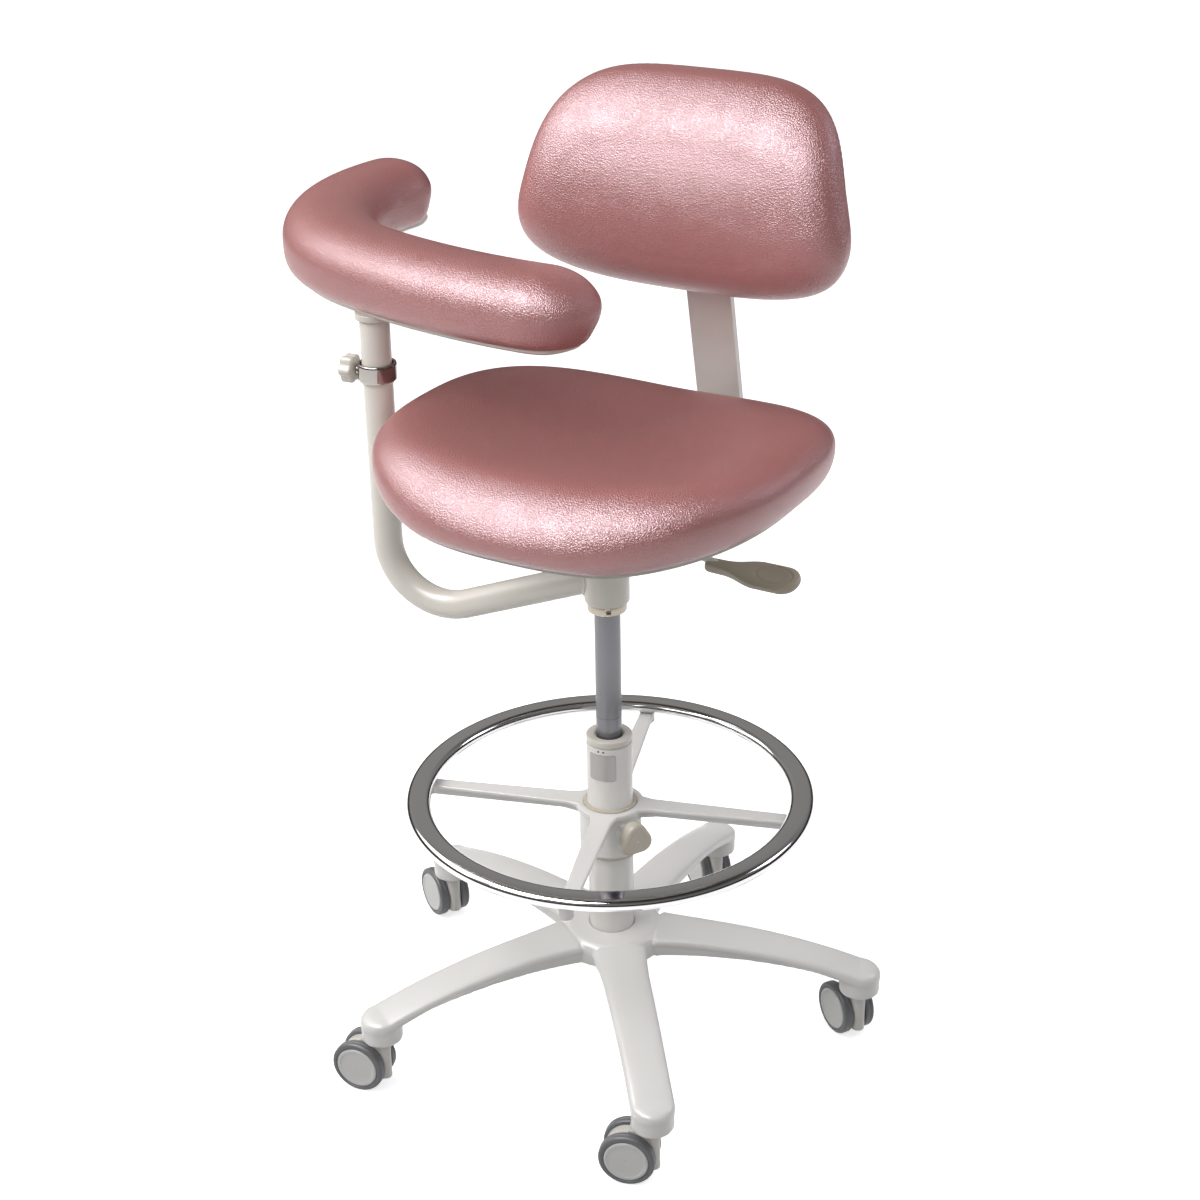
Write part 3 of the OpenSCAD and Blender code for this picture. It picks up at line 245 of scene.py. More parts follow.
def settled_dust(w: Wiring, given: dict) -> bpy.types.NodeSocket:
    """Lays a thin broken film of dust on what faces up.

    Args:
        w: The wiring of the tree that it is built in.
        given: The group's input sockets by name.

    Returns:
        The dusted colour's socket.
    """
    normal = w.node("ShaderNodeNewGeometry").outputs["Normal"]
    up = w.node("ShaderNodeSeparateXYZ", {0: normal}).outputs[2]
    broken = w.remap(w.noise(w.place(0.04), 2.0, 0.5), 0.15, 0.85, 0.0, 1.0)
    mask = w.math("MULTIPLY", w.remap(up, 0.2, 0.95, 0.0, 1.0), broken)
    return w.mix(w.math("MULTIPLY", mask, given["Amount"]), given["Colour"], DUST_COLOUR)


def handled_gloss(w: Wiring, given: dict) -> bpy.types.NodeSocket:
    """Varies the roughness as handling and wiping leave it.

    Args:
        w: The wiring of the tree that it is built in.
        given: The group's input sockets by name.

    Returns:
        The roughness's socket.
    """
    smears = w.noise(w.place(0.06, (1, 1, 0.35)), 2.0, 0.5)
    spread = given["Spread"]
    low = w.math("SUBTRACT", given["Roughness"], spread)
    return w.remap(smears, 0.2, 0.8, low, w.math("ADD", given["Roughness"], spread))


def moulded_peel(w: Wiring, given: dict) -> bpy.types.NodeSocket:
    """Gives the faint waviness of moulded or coated surfaces."""
    return w.noise(w.place(given["Size"]), 2.0, 0.45)


def vinyl_grain(w: Wiring, given: dict) -> bpy.types.NodeSocket:
    """Gives a coated fabric's short pressed creases, with fine pebbles between them.

    Args:
        w: The wiring of the tree that it is built in.
        given: The group's input sockets by name.

    Returns:
        The height's socket.
    """
    fine_share, wide_share, fine_height = 0.33, 11.0, 0.7
    place = w.place(given["Size"])
    stir = w.node("ShaderNodeTexNoise", {"Vector": place, "Scale": 0.8, "Detail": 3.0}).outputs[1]
    moved = w.node("ShaderNodeVectorMath", {0: place, 1: stir}, operation="ADD").outputs[0]
    cells = w.node("ShaderNodeTexVoronoi", {"Vector": moved, "Scale": 1.0, "Randomness": 1.0},
                   feature="DISTANCE_TO_EDGE").outputs["Distance"]
    crease = w.remap(cells, 0.0, 0.3, 0.0, 1.0)
    fine = w.noise(w.place(w.math("MULTIPLY", given["Size"], fine_share)), 3.0, 0.6)
    wide = w.noise(w.place(w.math("MULTIPLY", given["Size"], wide_share)), 2.0)
    soft = w.math("MULTIPLY", crease, w.remap(wide, 0.3, 0.7, 0.65, 1.0))
    return w.math("ADD", soft, w.math("MULTIPLY", fine, fine_height))


def drawn_lines(w: Wiring, given: dict) -> bpy.types.NodeSocket:
    """Gives the faint rings that turning and sliding leave round a tube."""
    rings = w.noise(w.place(given["Size"], (0.02, 0.02, 1)), 3.0, 0.7)
    return w.math("ADD", rings, w.math("MULTIPLY", w.noise(w.place(given["Size"]), 2.0), 0.2))


DUST_COLOUR = (0.62, 0.59, 0.54, 1)
RELIEFS = {Relief.PEEL: moulded_peel, Relief.LEATHER: vinyl_grain, Relief.LINES: drawn_lines}


# --------------------------------------------------------------------------- finishes


@dataclass(frozen=True)
class Finish:
    """One surface finish. Lengths are in metres and colours are linear."""

    slot: str
    colour: Colour
    deeper: Colour
    roughness: float
    spread: float = 0.05
    metallic: float = 0.0
    ior: float = 1.5
    coat: float = 0.0
    coat_roughness: float = 0.1
    specular: float = 0.5
    specular_tint: Colour = (1.0, 1.0, 1.0)
    sheen: float = 0.0
    sheen_tint: Colour = (1.0, 1.0, 1.0)
    sheen_roughness: float = 0.4
    mottle: float = 0.09
    dust: float = 0.0
    relief: Relief = Relief.PEEL
    grain: float = 0.003
    depth: float = 0.00004
    strength: float = 0.5
    name: str = ""

    def material(self) -> bpy.types.Material:
        """Builds the material once, and returns it each time after that.

        Returns:
            The material.
        """
        label = self.name or self.slot + "_finish"
        found = bpy.data.materials.get(label)
        if found:
            return found
        made = bpy.data.materials.new(label)
        w = blank_tree(made)
        shader = w.node("ShaderNodeBsdfPrincipled", {
            "Base Color": self._colour(w),
            "Roughness": self._group(w, "handled_gloss", handled_gloss, "Roughness", "NodeSocketFloat",
                                     Roughness=self.roughness, Spread=self.spread),
            "Normal": self._normal(w),
            "Metallic": self.metallic,
            "IOR": self.ior,
            "Specular IOR Level": self.specular,
            "Specular Tint": (*self.specular_tint, 1),
            "Coat Weight": self.coat,
            "Coat Roughness": self.coat_roughness,
            "Sheen Weight": self.sheen,
            "Sheen Roughness": self.sheen_roughness,
            "Sheen Tint": (*self.sheen_tint, 1),
        })
        w.node("ShaderNodeOutputMaterial", {"Surface": shader.outputs[0]})
        made.diffuse_color = (*self.colour, 1)
        return made

    @staticmethod
    def _group(w: Wiring, name: str, wire: Callable, output: str, kind: str,
               **given: object) -> bpy.types.NodeSocket:
        """Places an effect group with this finish's own values.

        Args:
            w: The material's wiring.
            name: The group's name.
            wire: The function that wires the group.
            output: The group's output.
            kind: The output's socket type.
            given: A value or socket for each of the group's inputs.

        Returns:
            The group's output socket.
        """
        defaults = {k: (0.8, 0.8, 0.8, 1.0) if isinstance(v, (tuple, bpy.types.NodeSocketColor)) else 0.5
                    for k, v in given.items()}
        tree = effect_group(name, defaults, output, kind, wire)
        return w.node("ShaderNodeGroup", given, node_tree=tree).outputs[output]

    def _colour(self, w: Wiring) -> bpy.types.NodeSocket:
        """Wires the drifting colour and its dust.

        Args:
            w: The material's wiring.

        Returns:
            The colour's socket.
        """
        base = self._group(w, "soft_mottle", soft_mottle, "Colour", "NodeSocketColor",
                           Colour=(*self.colour, 1), Deeper=(*self.deeper, 1), Size=self.mottle)
        if not self.dust:
            return base
        return self._group(w, "settled_dust", settled_dust, "Colour", "NodeSocketColor",
                           Colour=base, Amount=self.dust)

    def _normal(self, w: Wiring) -> bpy.types.NodeSocket:
        """Wires the relief through a Bump node.

        Args:
            w: The material's wiring.

        Returns:
            The normal's socket.
        """
        height = self._group(w, self.relief.value, RELIEFS[self.relief], "Height", "NodeSocketFloat",
                             Size=self.grain)
        feeds = {"Strength": self.strength, "Distance": self.depth, "Height": height}
        return w.node("ShaderNodeBump", feeds).outputs["Normal"]


WHITE_PLASTIC = Finish("white_plastic", (0.80, 0.795, 0.77), (0.78, 0.77, 0.74), 0.34, coat=0.1, dust=0.03,
                       grain=0.006, depth=0.00005)
WHITE_PAINT = Finish("white_paint", (0.80, 0.785, 0.755), (0.775, 0.76, 0.72), 0.33, coat=0.12, dust=0.03)
IVORY_PLASTIC = Finish("ivory_plastic", (0.74, 0.71, 0.65), (0.70, 0.67, 0.60), 0.36)
GREY_PLATE = Finish("grey_plate", (0.42, 0.41, 0.395), (0.39, 0.38, 0.365), 0.34, metallic=0.3,
                    grain=0.001)
STEEL = Finish("steel", (0.62, 0.61, 0.60), (0.52, 0.51, 0.50), 0.28, metallic=1.0)
DARK_STEEL = Finish("dark_steel", (0.16, 0.155, 0.15), (0.11, 0.105, 0.10), 0.42, metallic=0.8)
GAS_TUBE = Finish("gas_tube", (0.20, 0.203, 0.215), (0.155, 0.155, 0.163), 0.26, spread=0.06, metallic=0.8,
                  relief=Relief.LINES, grain=0.0012, depth=0.00002, strength=0.4)
CHAMPAGNE = Finish("champagne", (0.44, 0.40, 0.33), (0.36, 0.32, 0.26), 0.3, metallic=0.85, grain=0.001)
IVORY_PAINT = Finish("ivory_paint", (0.84, 0.805, 0.735), (0.815, 0.775, 0.70), 0.34, coat=0.15,
                     coat_roughness=0.2)
SHELL_PLASTIC = Finish("shell_plastic", (0.66, 0.65, 0.61), (0.58, 0.57, 0.53), 0.5, relief=Relief.LEATHER,
                       grain=0.0012, depth=0.00003)
ROSE_VINYL = Finish("rose_vinyl", (0.42, 0.143, 0.130), (0.375, 0.122, 0.109), 0.36, spread=0.02, ior=1.65,
                    specular=0.95, specular_tint=(1.0, 0.95, 1.0), coat=0.15, coat_roughness=0.25, sheen=0.05,
                    sheen_tint=(1.0, 0.84, 1.0), mottle=0.2, relief=Relief.LEATHER, grain=0.0025,
                    depth=0.0007)
BEIGE_PLASTIC = Finish("beige_plastic", (0.60, 0.55, 0.465), (0.56, 0.51, 0.425), 0.4)
# A darker copy of the beige plastic for the paddle: painted shade for the shadow it sits in under the seat.
BEIGE_PLASTIC_PAINTED_SHADE = Finish("beige_plastic", (0.47, 0.415, 0.325), (0.44, 0.385, 0.295), 0.38,
                     name="beige_plastic_paddle")
CREAM_PAINT = Finish("cream_paint", (0.80, 0.765, 0.72), (0.75, 0.72, 0.665), 0.36, coat=0.15)
# A darker, warmer copy of the chrome for the clamp band: a painted dark reflection.
CLAMP_CHROME_PAINTED_DARK_REFLECTION = Finish("chrome", (0.40, 0.375, 0.355), (0.34, 0.315, 0.295), 0.12, metallic=1.0,
                     name="chrome_clamp")
CHROME = Finish("chrome", (0.70, 0.70, 0.71), (0.65, 0.65, 0.66), 0.08, spread=0.025, metallic=1.0,
                grain=0.02, depth=0.00002, strength=0.3)
DARK_PLASTIC = Finish("dark_plastic", (0.035, 0.035, 0.037), (0.02, 0.02, 0.022), 0.45)
HOOD_PLASTIC = Finish("hood_plastic", (0.71, 0.69, 0.64), (0.67, 0.65, 0.60), 0.33, dust=0.05)
DISC_PLASTIC = Finish("disc_plastic", (0.67, 0.67, 0.65), (0.63, 0.63, 0.61), 0.42, dust=0.06, grain=0.0008)
TYRE_RUBBER = Finish("tyre_rubber", (0.14, 0.145, 0.155), (0.115, 0.12, 0.128), 0.46, dust=0.18,
                     grain=0.0015)


# --------------------------------------------------------------------------- mesh tools


def full_turn(around: int) -> np.ndarray:
    """Gives evenly spread angles round a full turn."""
    return np.linspace(0, TAU, around, endpoint=False)


def turned(degrees: float, axis: str) -> Matrix:
    """Gives a turn about an axis."""
    return Matrix.Rotation(math.radians(degrees), 4, axis)


@dataclass
class Solid:
    """The points and faces of one closed form."""

    points: np.ndarray
    faces: list[tuple[int, ...]]

    def moved(self, matrix: Matrix) -> "Solid":
        """Returns this form moved by a matrix."""
        m = np.array(matrix, float)
        return Solid(self.points @ m[:3, :3].T + m[:3, 3], self.faces)


def loft(rings: Sequence[np.ndarray], wrap: bool = False) -> Solid:
    """Joins rings of equal length into a closed form.

    Args:
        rings: The rings, each an array of points.
        wrap: Whether the last ring joins the first, as on a torus.

    Returns:
        The form, with a fan at each end unless it wraps.
    """
    stack = np.array(rings, float)
    count, around = stack.shape[:2]
    points = stack.reshape(-1, 3)
    faces: list[tuple[int, ...]] = []
    for i in range(count if wrap else count - 1):
        a, b = i * around, (i + 1) % count * around
        faces += [(a + j, a + (j + 1) % around, b + (j + 1) % around, b + j) for j in range(around)]
    if not wrap:
        first, last = len(points), len(points) + 1
        points = np.vstack([points, stack[0].mean(0), stack[-1].mean(0)])
        end = (count - 1) * around
        faces += [(first, (j + 1) % around, j) for j in range(around)]
        faces += [(last, end + j, end + (j + 1) % around) for j in range(around)]
    return Solid(points, faces)


def soften(outline: Sequence[Point], radius: float, steps: int = 4) -> list[Point]:
    """Rounds every corner of a closed outline.

    Args:
        outline: The outline's corners.
        radius: The rounding's radius, smaller where an edge is short.
        steps: How many stretches each rounding has.

    Returns:
        The rounded outline.
    """
    made: list[Point] = []
    count = len(outline)
    for i in range(count):
        p, a, b = (np.array(outline[k % count], float) for k in (i, i - 1, i + 1))
        to_a, to_b = a - p, b - p
        la, lb = np.linalg.norm(to_a), np.linalg.norm(to_b)
        bend = math.acos(max(-1.0, min(1.0, float(to_a @ to_b) / (la * lb))))
        reach = min(radius / max(math.tan(bend / 2), 0.05), 0.48 * la, 0.48 * lb)
        start, stop = p + to_a / la * reach, p + to_b / lb * reach
        for k in range(steps + 1):
            t = k / steps
            made.append(tuple((1 - t) ** 2 * start + 2 * t * (1 - t) * p + t * t * stop))
    return made


def lathe(profile: Sequence[Point], around: int = 96, closed: bool = True) -> Solid:
    """Turns a profile of radius and height about +Z.

    Args:
        profile: The profile's points.
        around: How many stretches the turn has.
        closed: Whether the profile is a loop; if not, it runs from axis to axis.

    Returns:
        The turned form.
    """
    turn = full_turn(around)
    rings = [np.stack([r * np.cos(turn), r * np.sin(turn), np.full(around, z)], 1) for r, z in profile]
    return loft(rings, wrap=closed)


def ring_profile(inner: float, outer: float, low: float, high: float, radius: float) -> list[Point]:
    """Gives the softened profile of a plain ring or bush."""
    return soften([(inner, low), (outer, low), (outer, high), (inner, high)], radius)


def dense(outline: Sequence[Point], step: float) -> list[Point]:
    """Adds points along a closed outline so that no stretch is longer than a step.

    Args:
        outline: The outline's corners.
        step: The longest stretch, in metres.

    Returns:
        The outline with its added points.
    """
    made: list[Point] = []
    for (ax, ay), (bx, by) in zip(outline, [*outline[1:], outline[0]]):
        parts = max(1, math.ceil(math.hypot(bx - ax, by - ay) / step))
        made += [(ax + (bx - ax) * k / parts, ay + (by - ay) * k / parts) for k in range(parts)]
    return made


def disc_profile(radius: float, low: float, high: float, edge: float, steps: int = 6) -> list[Point]:
    """Gives an open profile from axis to axis for a disc with rounded rims.

    Args:
        radius: The disc's radius.
        low: The height of its lower face.
        high: The height of its upper face.
        edge: The radius of its rims' rounding.
        steps: How many stretches each rounding has.

    Returns:
        The profile's points.
    """
    turns = [math.pi / 2 * i / steps for i in range(steps + 1)]
    lower = [(radius - edge + edge * math.sin(t), low + edge - edge * math.cos(t)) for t in turns]
    upper = [(radius - edge + edge * math.cos(t), high - edge + edge * math.sin(t)) for t in turns]
    return [(radius * 0.02, low), *lower, *upper, (radius * 0.02, high)]


def prism(outline: Sequence[Point], low: float, high: float) -> Solid:
    """Gives an upright form over a flat outline."""
    flat = np.array(outline, float)
    return loft([np.column_stack([flat, np.full(len(flat), z)]) for z in (low, high)])


def sweep(path: np.ndarray, section: np.ndarray, side: np.ndarray, wrap: bool = False) -> Solid:
    """Carries a section along a path.

    Args:
        path: The path's points.
        section: The section's points, across along side and up along the path's normal.
        side: One side direction for the whole path, or one for each point.
        wrap: Whether the path is a loop.

    Returns:
        The swept form.
    """
    if wrap:
        along = np.roll(path, -1, 0) - np.roll(path, 1, 0)
    else:
        along = np.gradient(path, axis=0)
    along /= np.linalg.norm(along, axis=1)[:, None]
    across = np.broadcast_to(side, path.shape)
    across = across - along * (across * along).sum(1)[:, None]
    across /= np.linalg.norm(across, axis=1)[:, None]
    normal = np.cross(along, across)
    rings = [p + section[:, :1] * s + section[:, 1:] * n for p, s, n in zip(path, across, normal)]
    return loft(rings, wrap=wrap)


def circle(radius: float, around: int = 48) -> np.ndarray:
    """Gives a flat circle's points."""
    turn = full_turn(around)
    return radius * np.stack([np.cos(turn), np.sin(turn)], 1)


def stub(radius: float, low: float, high: float, edge: float, around: int = 32) -> Solid:
    """Gives a short round pin along +Z with rounded rims."""
    return lathe(disc_profile(radius, low, high, edge), around, closed=False)


def bush(inner: float, outer: float, low: float, high: float, radius: float, around: int = 96) -> Solid:
    """Gives a ring or bush about +Z with rounded rims."""
    return lathe(ring_profile(inner, outer, low, high, radius), around)


def stand(name: str, data: bpy.types.ID) -> bpy.types.Object:
    """Makes an object for some data and links it into the scene.

    Args:
        name: The object's name.
        data: Its mesh, lamp or camera.

    Returns:
        The new object.
    """
    made = bpy.data.objects.new(name, data)
    bpy.context.scene.collection.objects.link(made)
    return made


def fill_mesh(mesh: bpy.types.Mesh, solids: Iterable[Solid]) -> None:
    """Puts closed forms into a mesh with their faces turned outward.

    Args:
        mesh: The mesh that is filled.
        solids: The forms.
    """
    points, faces, start = [], [], 0
    for solid in solids:
        points.append(solid.points)
        faces += [tuple(start + k for k in face) for face in solid.faces]
        start += len(solid.points)
    mesh.from_pydata(np.vstack(points).tolist(), [], faces)
    work = bmesh.new()
    work.from_mesh(mesh)
    bmesh.ops.remove_doubles(work, verts=work.verts, dist=SEAM_MERGE)
    bmesh.ops.recalc_face_normals(work, faces=work.faces)
    work.to_mesh(mesh)
    work.free()


def place_piece(name: str, body: str, finish: Finish, solids: Iterable[Solid], replaces: Sequence[str] = (),
                sharp: float = SHARP_ANGLE) -> bpy.types.Object:
    """Makes a piece, dresses it and lets it ride on its body.

    Args:
        name: The piece's name.
        body: The CAD body that it rides on.
        finish: Its finish.
        solids: Its forms, in the shared frame.
        replaces: The CAD nodes that it stands for.
        sharp: Edges that bend more than this angle stay crisp.

    Returns:
        The piece.
    """
    mesh = bpy.data.meshes.new(name)
    fill_mesh(mesh, solids)
    return settle_piece(stand(name, mesh), body, finish, replaces, sharp)


def settle_piece(piece: bpy.types.Object, body: str, finish: Finish, replaces: Sequence[str],
                 sharp: float) -> bpy.types.Object:
    """Dresses a linked piece, lets it ride and reports it.

    Args:
        piece: The piece's object.
        body: The CAD body that it rides on.
        finish: Its finish.
        replaces: The CAD nodes that it stands for.
        sharp: Edges that bend more than this angle stay crisp.

    Returns:
        The piece.
    """
    piece.data.shade_smooth()
    piece.data.set_sharp_from_angle(angle=sharp)
    piece.data.materials.clear()
    piece.data.materials.append(finish.material())
    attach(piece, body)
    if replaces:
        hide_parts(*replaces)
    LOG.info("%s on %s: %d faces", piece.name, body, len(piece.data.polygons))
    return piece


def fused_piece(name: str, body: str, finish: Finish, solids: Iterable[Solid], voxel: float, rounds: int,
                replaces: Sequence[str] = ()) -> bpy.types.Object:
    """Makes a cast piece: its forms flow into each other with small fillets.

    Args:
        name: The piece's name.
        body: The CAD body that it rides on.
        finish: Its finish.
        solids: Its overlapping forms, in the shared frame.
        voxel: The size of the remeshing, in metres.
        rounds: How many rounds of smoothing follow.
        replaces: The CAD nodes that it stands for.

    Returns:
        The piece.
    """
    rough = bpy.data.meshes.new(name + "_rough")
    fill_mesh(rough, solids)
    carrier = stand(name + "_rough", rough)
    remesh = carrier.modifiers.new("fuse", "REMESH")
    remesh.mode = "VOXEL"
    remesh.voxel_size = voxel
    smooth = carrier.modifiers.new("fillet", "SMOOTH")
    smooth.factor = 0.5
    smooth.iterations = rounds
    graph = bpy.context.evaluated_depsgraph_get()
    mesh = bpy.data.meshes.new_from_object(carrier.evaluated_get(graph))
    mesh.name = name
    bpy.data.objects.remove(carrier)
    bpy.data.meshes.remove(rough)
    return settle_piece(stand(name, mesh), body, finish, replaces, math.pi)


@dataclass
class SubAssembly:
    frame: dict

    def build(self) -> None:
        """Builds and dresses every piece of the sub-assembly."""
        raise NotImplementedError

    def dress(self, name: str, finish: Finish, edge: float) -> None:
        """Gives a CAD node its finish and softened edges.

        Args:
            name: The node's name.
            finish: Its finish.
            edge: The width of its softened edges.
        """
        node = self.frame["nodes"][name]
        for spot in node.material_slots:
            spot.material = finish.material()
        if not node.material_slots:
            node.data.materials.append(finish.material())
        weld = node.modifiers.new("weld", "WELD")
        weld.merge_threshold = SEAM_MERGE
        bevel = node.modifiers.new("soft_edges", "BEVEL")
        bevel.width = edge
        bevel.segments = 2
        bevel.limit_method = "ANGLE"
        bevel.angle_limit = BEVEL_ANGLE
        bevel.use_clamp_overlap = True
        bevel.harden_normals = False
        LOG.info("%s keeps its CAD shape", name)


def signed_power(values: np.ndarray, power: float) -> np.ndarray:
    """Raises magnitudes to a power and keeps the signs."""
    return np.sign(values) * np.abs(values) ** power


def gathered(ring: np.ndarray, level: int, amount: np.ndarray) -> np.ndarray:
    """Draws a ring's points in toward its middle.

    Args:
        ring: The ring's points.
        level: The axis along which nothing moves.
        amount: How far each point is drawn in.

    Returns:
        The gathered ring.
    """
    out = ring - ring.mean(0)
    out[:, level] = 0
    out /= np.linalg.norm(out, axis=1)[:, None]
    return ring - out * amount[:, None]


def ease(t: float | np.ndarray) -> float | np.ndarray:
    """Eases from 0 to 1."""
    return t * t * (3 - 2 * t)


def along_x(x: float, y: float, z: float, turn: float) -> Matrix:
    """Lays a form that was made along +Z out from a place, at a turn about +Z.

    Args:
        x: The place's X.
        y: The place's Y.
        z: The place's Z.
        turn: The direction in degrees.

    Returns:
        The matrix.
    """
    return Matrix.Translation((x, y, z)) @ turned(turn, "Z") @ turned(90, "Y")


def lobed_rings(radius: float, dip: float, lobes: int, profile: Sequence[Point], turn: float = 0.0) -> Solid:
    """Gives a knob whose rim has soft lobes.

    Args:
        radius: The reach of a lobe.
        dip: How far the rim draws in between two lobes.
        lobes: How many lobes there are.
        profile: How far each ring is drawn in, and its height.
        turn: The direction of the first lobe, in degrees.

    Returns:
        The knob, standing on +Z.
    """
    a = full_turn(144)
    rim = radius - dip * (1 - np.cos(lobes * (a - math.radians(turn)))) / 2
    rings = []
    for inset, z in profile:
        r = np.maximum(rim - inset, 0.0004)
        rings.append(np.stack([r * np.cos(a), r * np.sin(a), np.full(len(a), z)], 1))
    return loft(rings)


def knob_profile(height: float, edge: float, radius: float, dish: float) -> list[Point]:
    """Gives the insets and heights of a knob with a rounded rim and a shallow dished face.

    Args:
        height: The knob's height.
        edge: The radius of its rims' rounding.
        radius: The reach of its rim.
        dish: How deep its face is dished.

    Returns:
        How far each ring is drawn in, and its height.
    """
    turns = [math.pi / 2 * i / 6 for i in range(7)]
    lower = [(edge * (1 - math.sin(t)), edge * (1 - math.cos(t))) for t in turns]
    upper = [(edge * (1 - math.cos(t)), height - edge * (1 - math.sin(t))) for t in turns]
    face = [(radius * s, height - dish * ease(min(1.0, (s - 0.2) / 0.2))) for s in (0.2, 0.3, 0.4, 0.8)]
    return [(radius * 0.8, 0.0), (radius * 0.4, 0.0), *lower, *upper, *face]


# --------------------------------------------------------------------------- star base


@dataclass
class StarBase(SubAssembly):
    """The five-legged base, cast in one piece, with its column."""

    reach: float = 0.280
    first_turn: float = -52.3
    boss_r: float = 0.0225
    boss_low: float = 0.0658
    boss_h: float = 0.017
    lip: float = 0.0008
    root_w: float = 0.054
    root_h: float = 0.030
    tip_h: float = 0.014
    round_h: float = 0.009
    start: float = 0.018
    hub_r: float = 0.058
    hub_low: float = 0.104
    hub_top: float = 0.131
    sleeve_r: float = 0.036
    column_r: float = 0.025
    column_top: float = 0.363
    cap_r: float = 0.0235
    cap_h: float = 0.009
    cap_round: float = 0.0042
    bush_low: float = 0.301
    plate_turn: float = -80.0
    plate_w: float = 0.031
    plug_turns: tuple[float, float] = (-89.0, -76.0)
    plug_gap: float = 0.0035
    wall: float = 0.004
    side_step: float = 0.0038
    step_end: float = 0.78
    draft: float = 0.0012
    cap_depth: float = 0.0085
    crown_power: float = 2.5
    depth_power: float = 1.3
    skin_power: float = 0.62
    flare_w: float = 0.014
    flare_end: float = 0.118
    legs: int = 5
    voxel: float = 0.0017

    def share(self, r: float) -> float:
        """Gives how far along its leg a radius lies."""
        return max(0.0, min(1.0, (r - self.start) / (self.reach - self.start)))

    def past(self, r: float) -> float:
        """Gives how far past the caster's axis a radius lies."""
        return max(0.0, r - self.reach)

    def top(self, r: float) -> float:
        """Gives the height of a leg's top at a radius.

        Args:
            r: The radius from the column's axis.

        Returns:
            The height above the floor.
        """
        tip = self.boss_low + self.boss_h + self.tip_h
        crown = tip + (self.hub_top - tip) * (1 - self.share(r) ** self.crown_power)
        end = self.past(r) / (self.boss_r + self.lip)
        return crown - self.round_h * (1 - math.sqrt(max(0.0, 1 - end * end)))

    def depth(self, r: float) -> float:
        """Gives the depth of a leg at a radius."""
        return self.tip_h + (self.root_h - self.tip_h) * (1 - self.share(r)) ** self.depth_power

    def half(self, r: float) -> float:
        """Gives half the width of a leg at a radius.

        Args:
            r: The radius from the column's axis.

        Returns:
            Half the leg's width.
        """
        end = self.boss_r + self.lip
        if r > self.reach:
            return math.sqrt(max(0.0, end * end - self.past(r) ** 2))
        flare = self.flare_w * max(0.0, 1 - r / self.flare_end) ** 2
        return flare + (self.root_w + (2 * end - self.root_w) * ease(self.share(r))) / 2

    def skin(self, r: float) -> list[Point]:
        """Gives a leg's outer section from one foot over the crown to the other.

        Args:
            r: The radius from the column's axis.

        Returns:
            The section's points, across and up.
        """
        crown, half = self.top(r), self.half(r)
        low = self.top(min(r, self.reach)) - self.depth(r)
        step = self.side_step * (1 - ease(max(0.0, (self.share(r) - self.step_end) / (1 - self.step_end))))
        cap = min(self.cap_depth, crown - low - 0.001)
        shoulder = min(self.round_h, 0.9 * (crown - low))
        wall_top = max(low + 0.0005, crown - cap - shoulder * 0.45)
        side = [(half - step - self.draft, low), (half - step, wall_top),
                (half - step * 0.25, wall_top + step * 0.6)]
        arc = [(half * float(signed_power(np.cos(a), self.skin_power)),
                crown - shoulder + shoulder * float(np.sin(a)) ** self.skin_power)
               for a in np.linspace(0.0, math.pi, 25)]
        return [*side, *arc, *[(-x, z) for x, z in reversed(side)]]

    def leg(self) -> list[Solid]:
        """Builds one leg along +X: a hollow run and a solid end.

        Returns:
            The leg's overlapping forms.
        """
        hollow_from, hollow_to = self.hub_r - 0.005, self.reach - self.boss_r - self.wall
        hollow = []
        for r in np.linspace(hollow_from, hollow_to, 30):
            skin = self.skin(r)
            low, foot = skin[0][1], skin[0][0] - self.wall
            inner = [(x * foot / self.half(r), max(low, z - self.wall)) for x, z in reversed(skin[3:-3])]
            inner = [(-foot, low), *inner, (foot, low)]
            hollow.append(self.ring(r, [*skin, *inner]))
        tip_turns = [math.radians(84) * i / 9 for i in range(1, 10)]
        solid_at = [*np.linspace(hollow_to - 0.001, self.reach, 8),
                    *(self.reach + (self.boss_r + self.lip) * math.sin(t) for t in tip_turns)]
        root = [self.ring(r, self.skin(r)) for r in np.linspace(self.column_r + 0.004, self.sleeve_r, 4)]
        boss = stub(self.boss_r, self.boss_low, self.boss_low + self.boss_h + 0.006, 0.0015, 72)
        return [loft(hollow), loft([self.ring(r, self.skin(r)) for r in solid_at]), loft(root),
                boss.moved(Matrix.Translation((self.reach, 0, 0)))]

    @staticmethod
    def ring(r: float, section: Sequence[Point]) -> np.ndarray:
        """Stands a section at a radius on +X."""
        return np.array([(r, x, z) for x, z in section])

    def hub(self) -> Solid:
        """Builds the hub with its sleeve and the channel under its top.

        Returns:
            The hub's form.
        """
        top, rim, chamfer = self.hub_top, 0.006, self.round_h * 0.35
        ceiling = top - rim
        outline = [(self.column_r, self.hub_low), (self.sleeve_r, self.hub_low), (self.sleeve_r, ceiling),
                   (self.hub_r - rim, ceiling), (self.hub_r - rim, self.hub_low), (self.hub_r, self.hub_low),
                   (self.hub_r, top - self.round_h), (self.hub_r - chamfer, top - chamfer),
                   (self.hub_r - self.round_h, top), (self.column_r, top)]
        return lathe(soften(outline, 0.0015), 120)

    def build(self) -> None:
        """Builds and dresses the base and its column."""
        solids = [self.hub()]
        for i in range(self.legs):
            turn = turned(self.first_turn + 360 * i / self.legs, "Z")
            solids += [part.moved(turn) for part in self.leg()]
        fused_piece("star_base_casting", "base", WHITE_PLASTIC, solids, self.voxel, 5, ["star_base"])
        self.column()

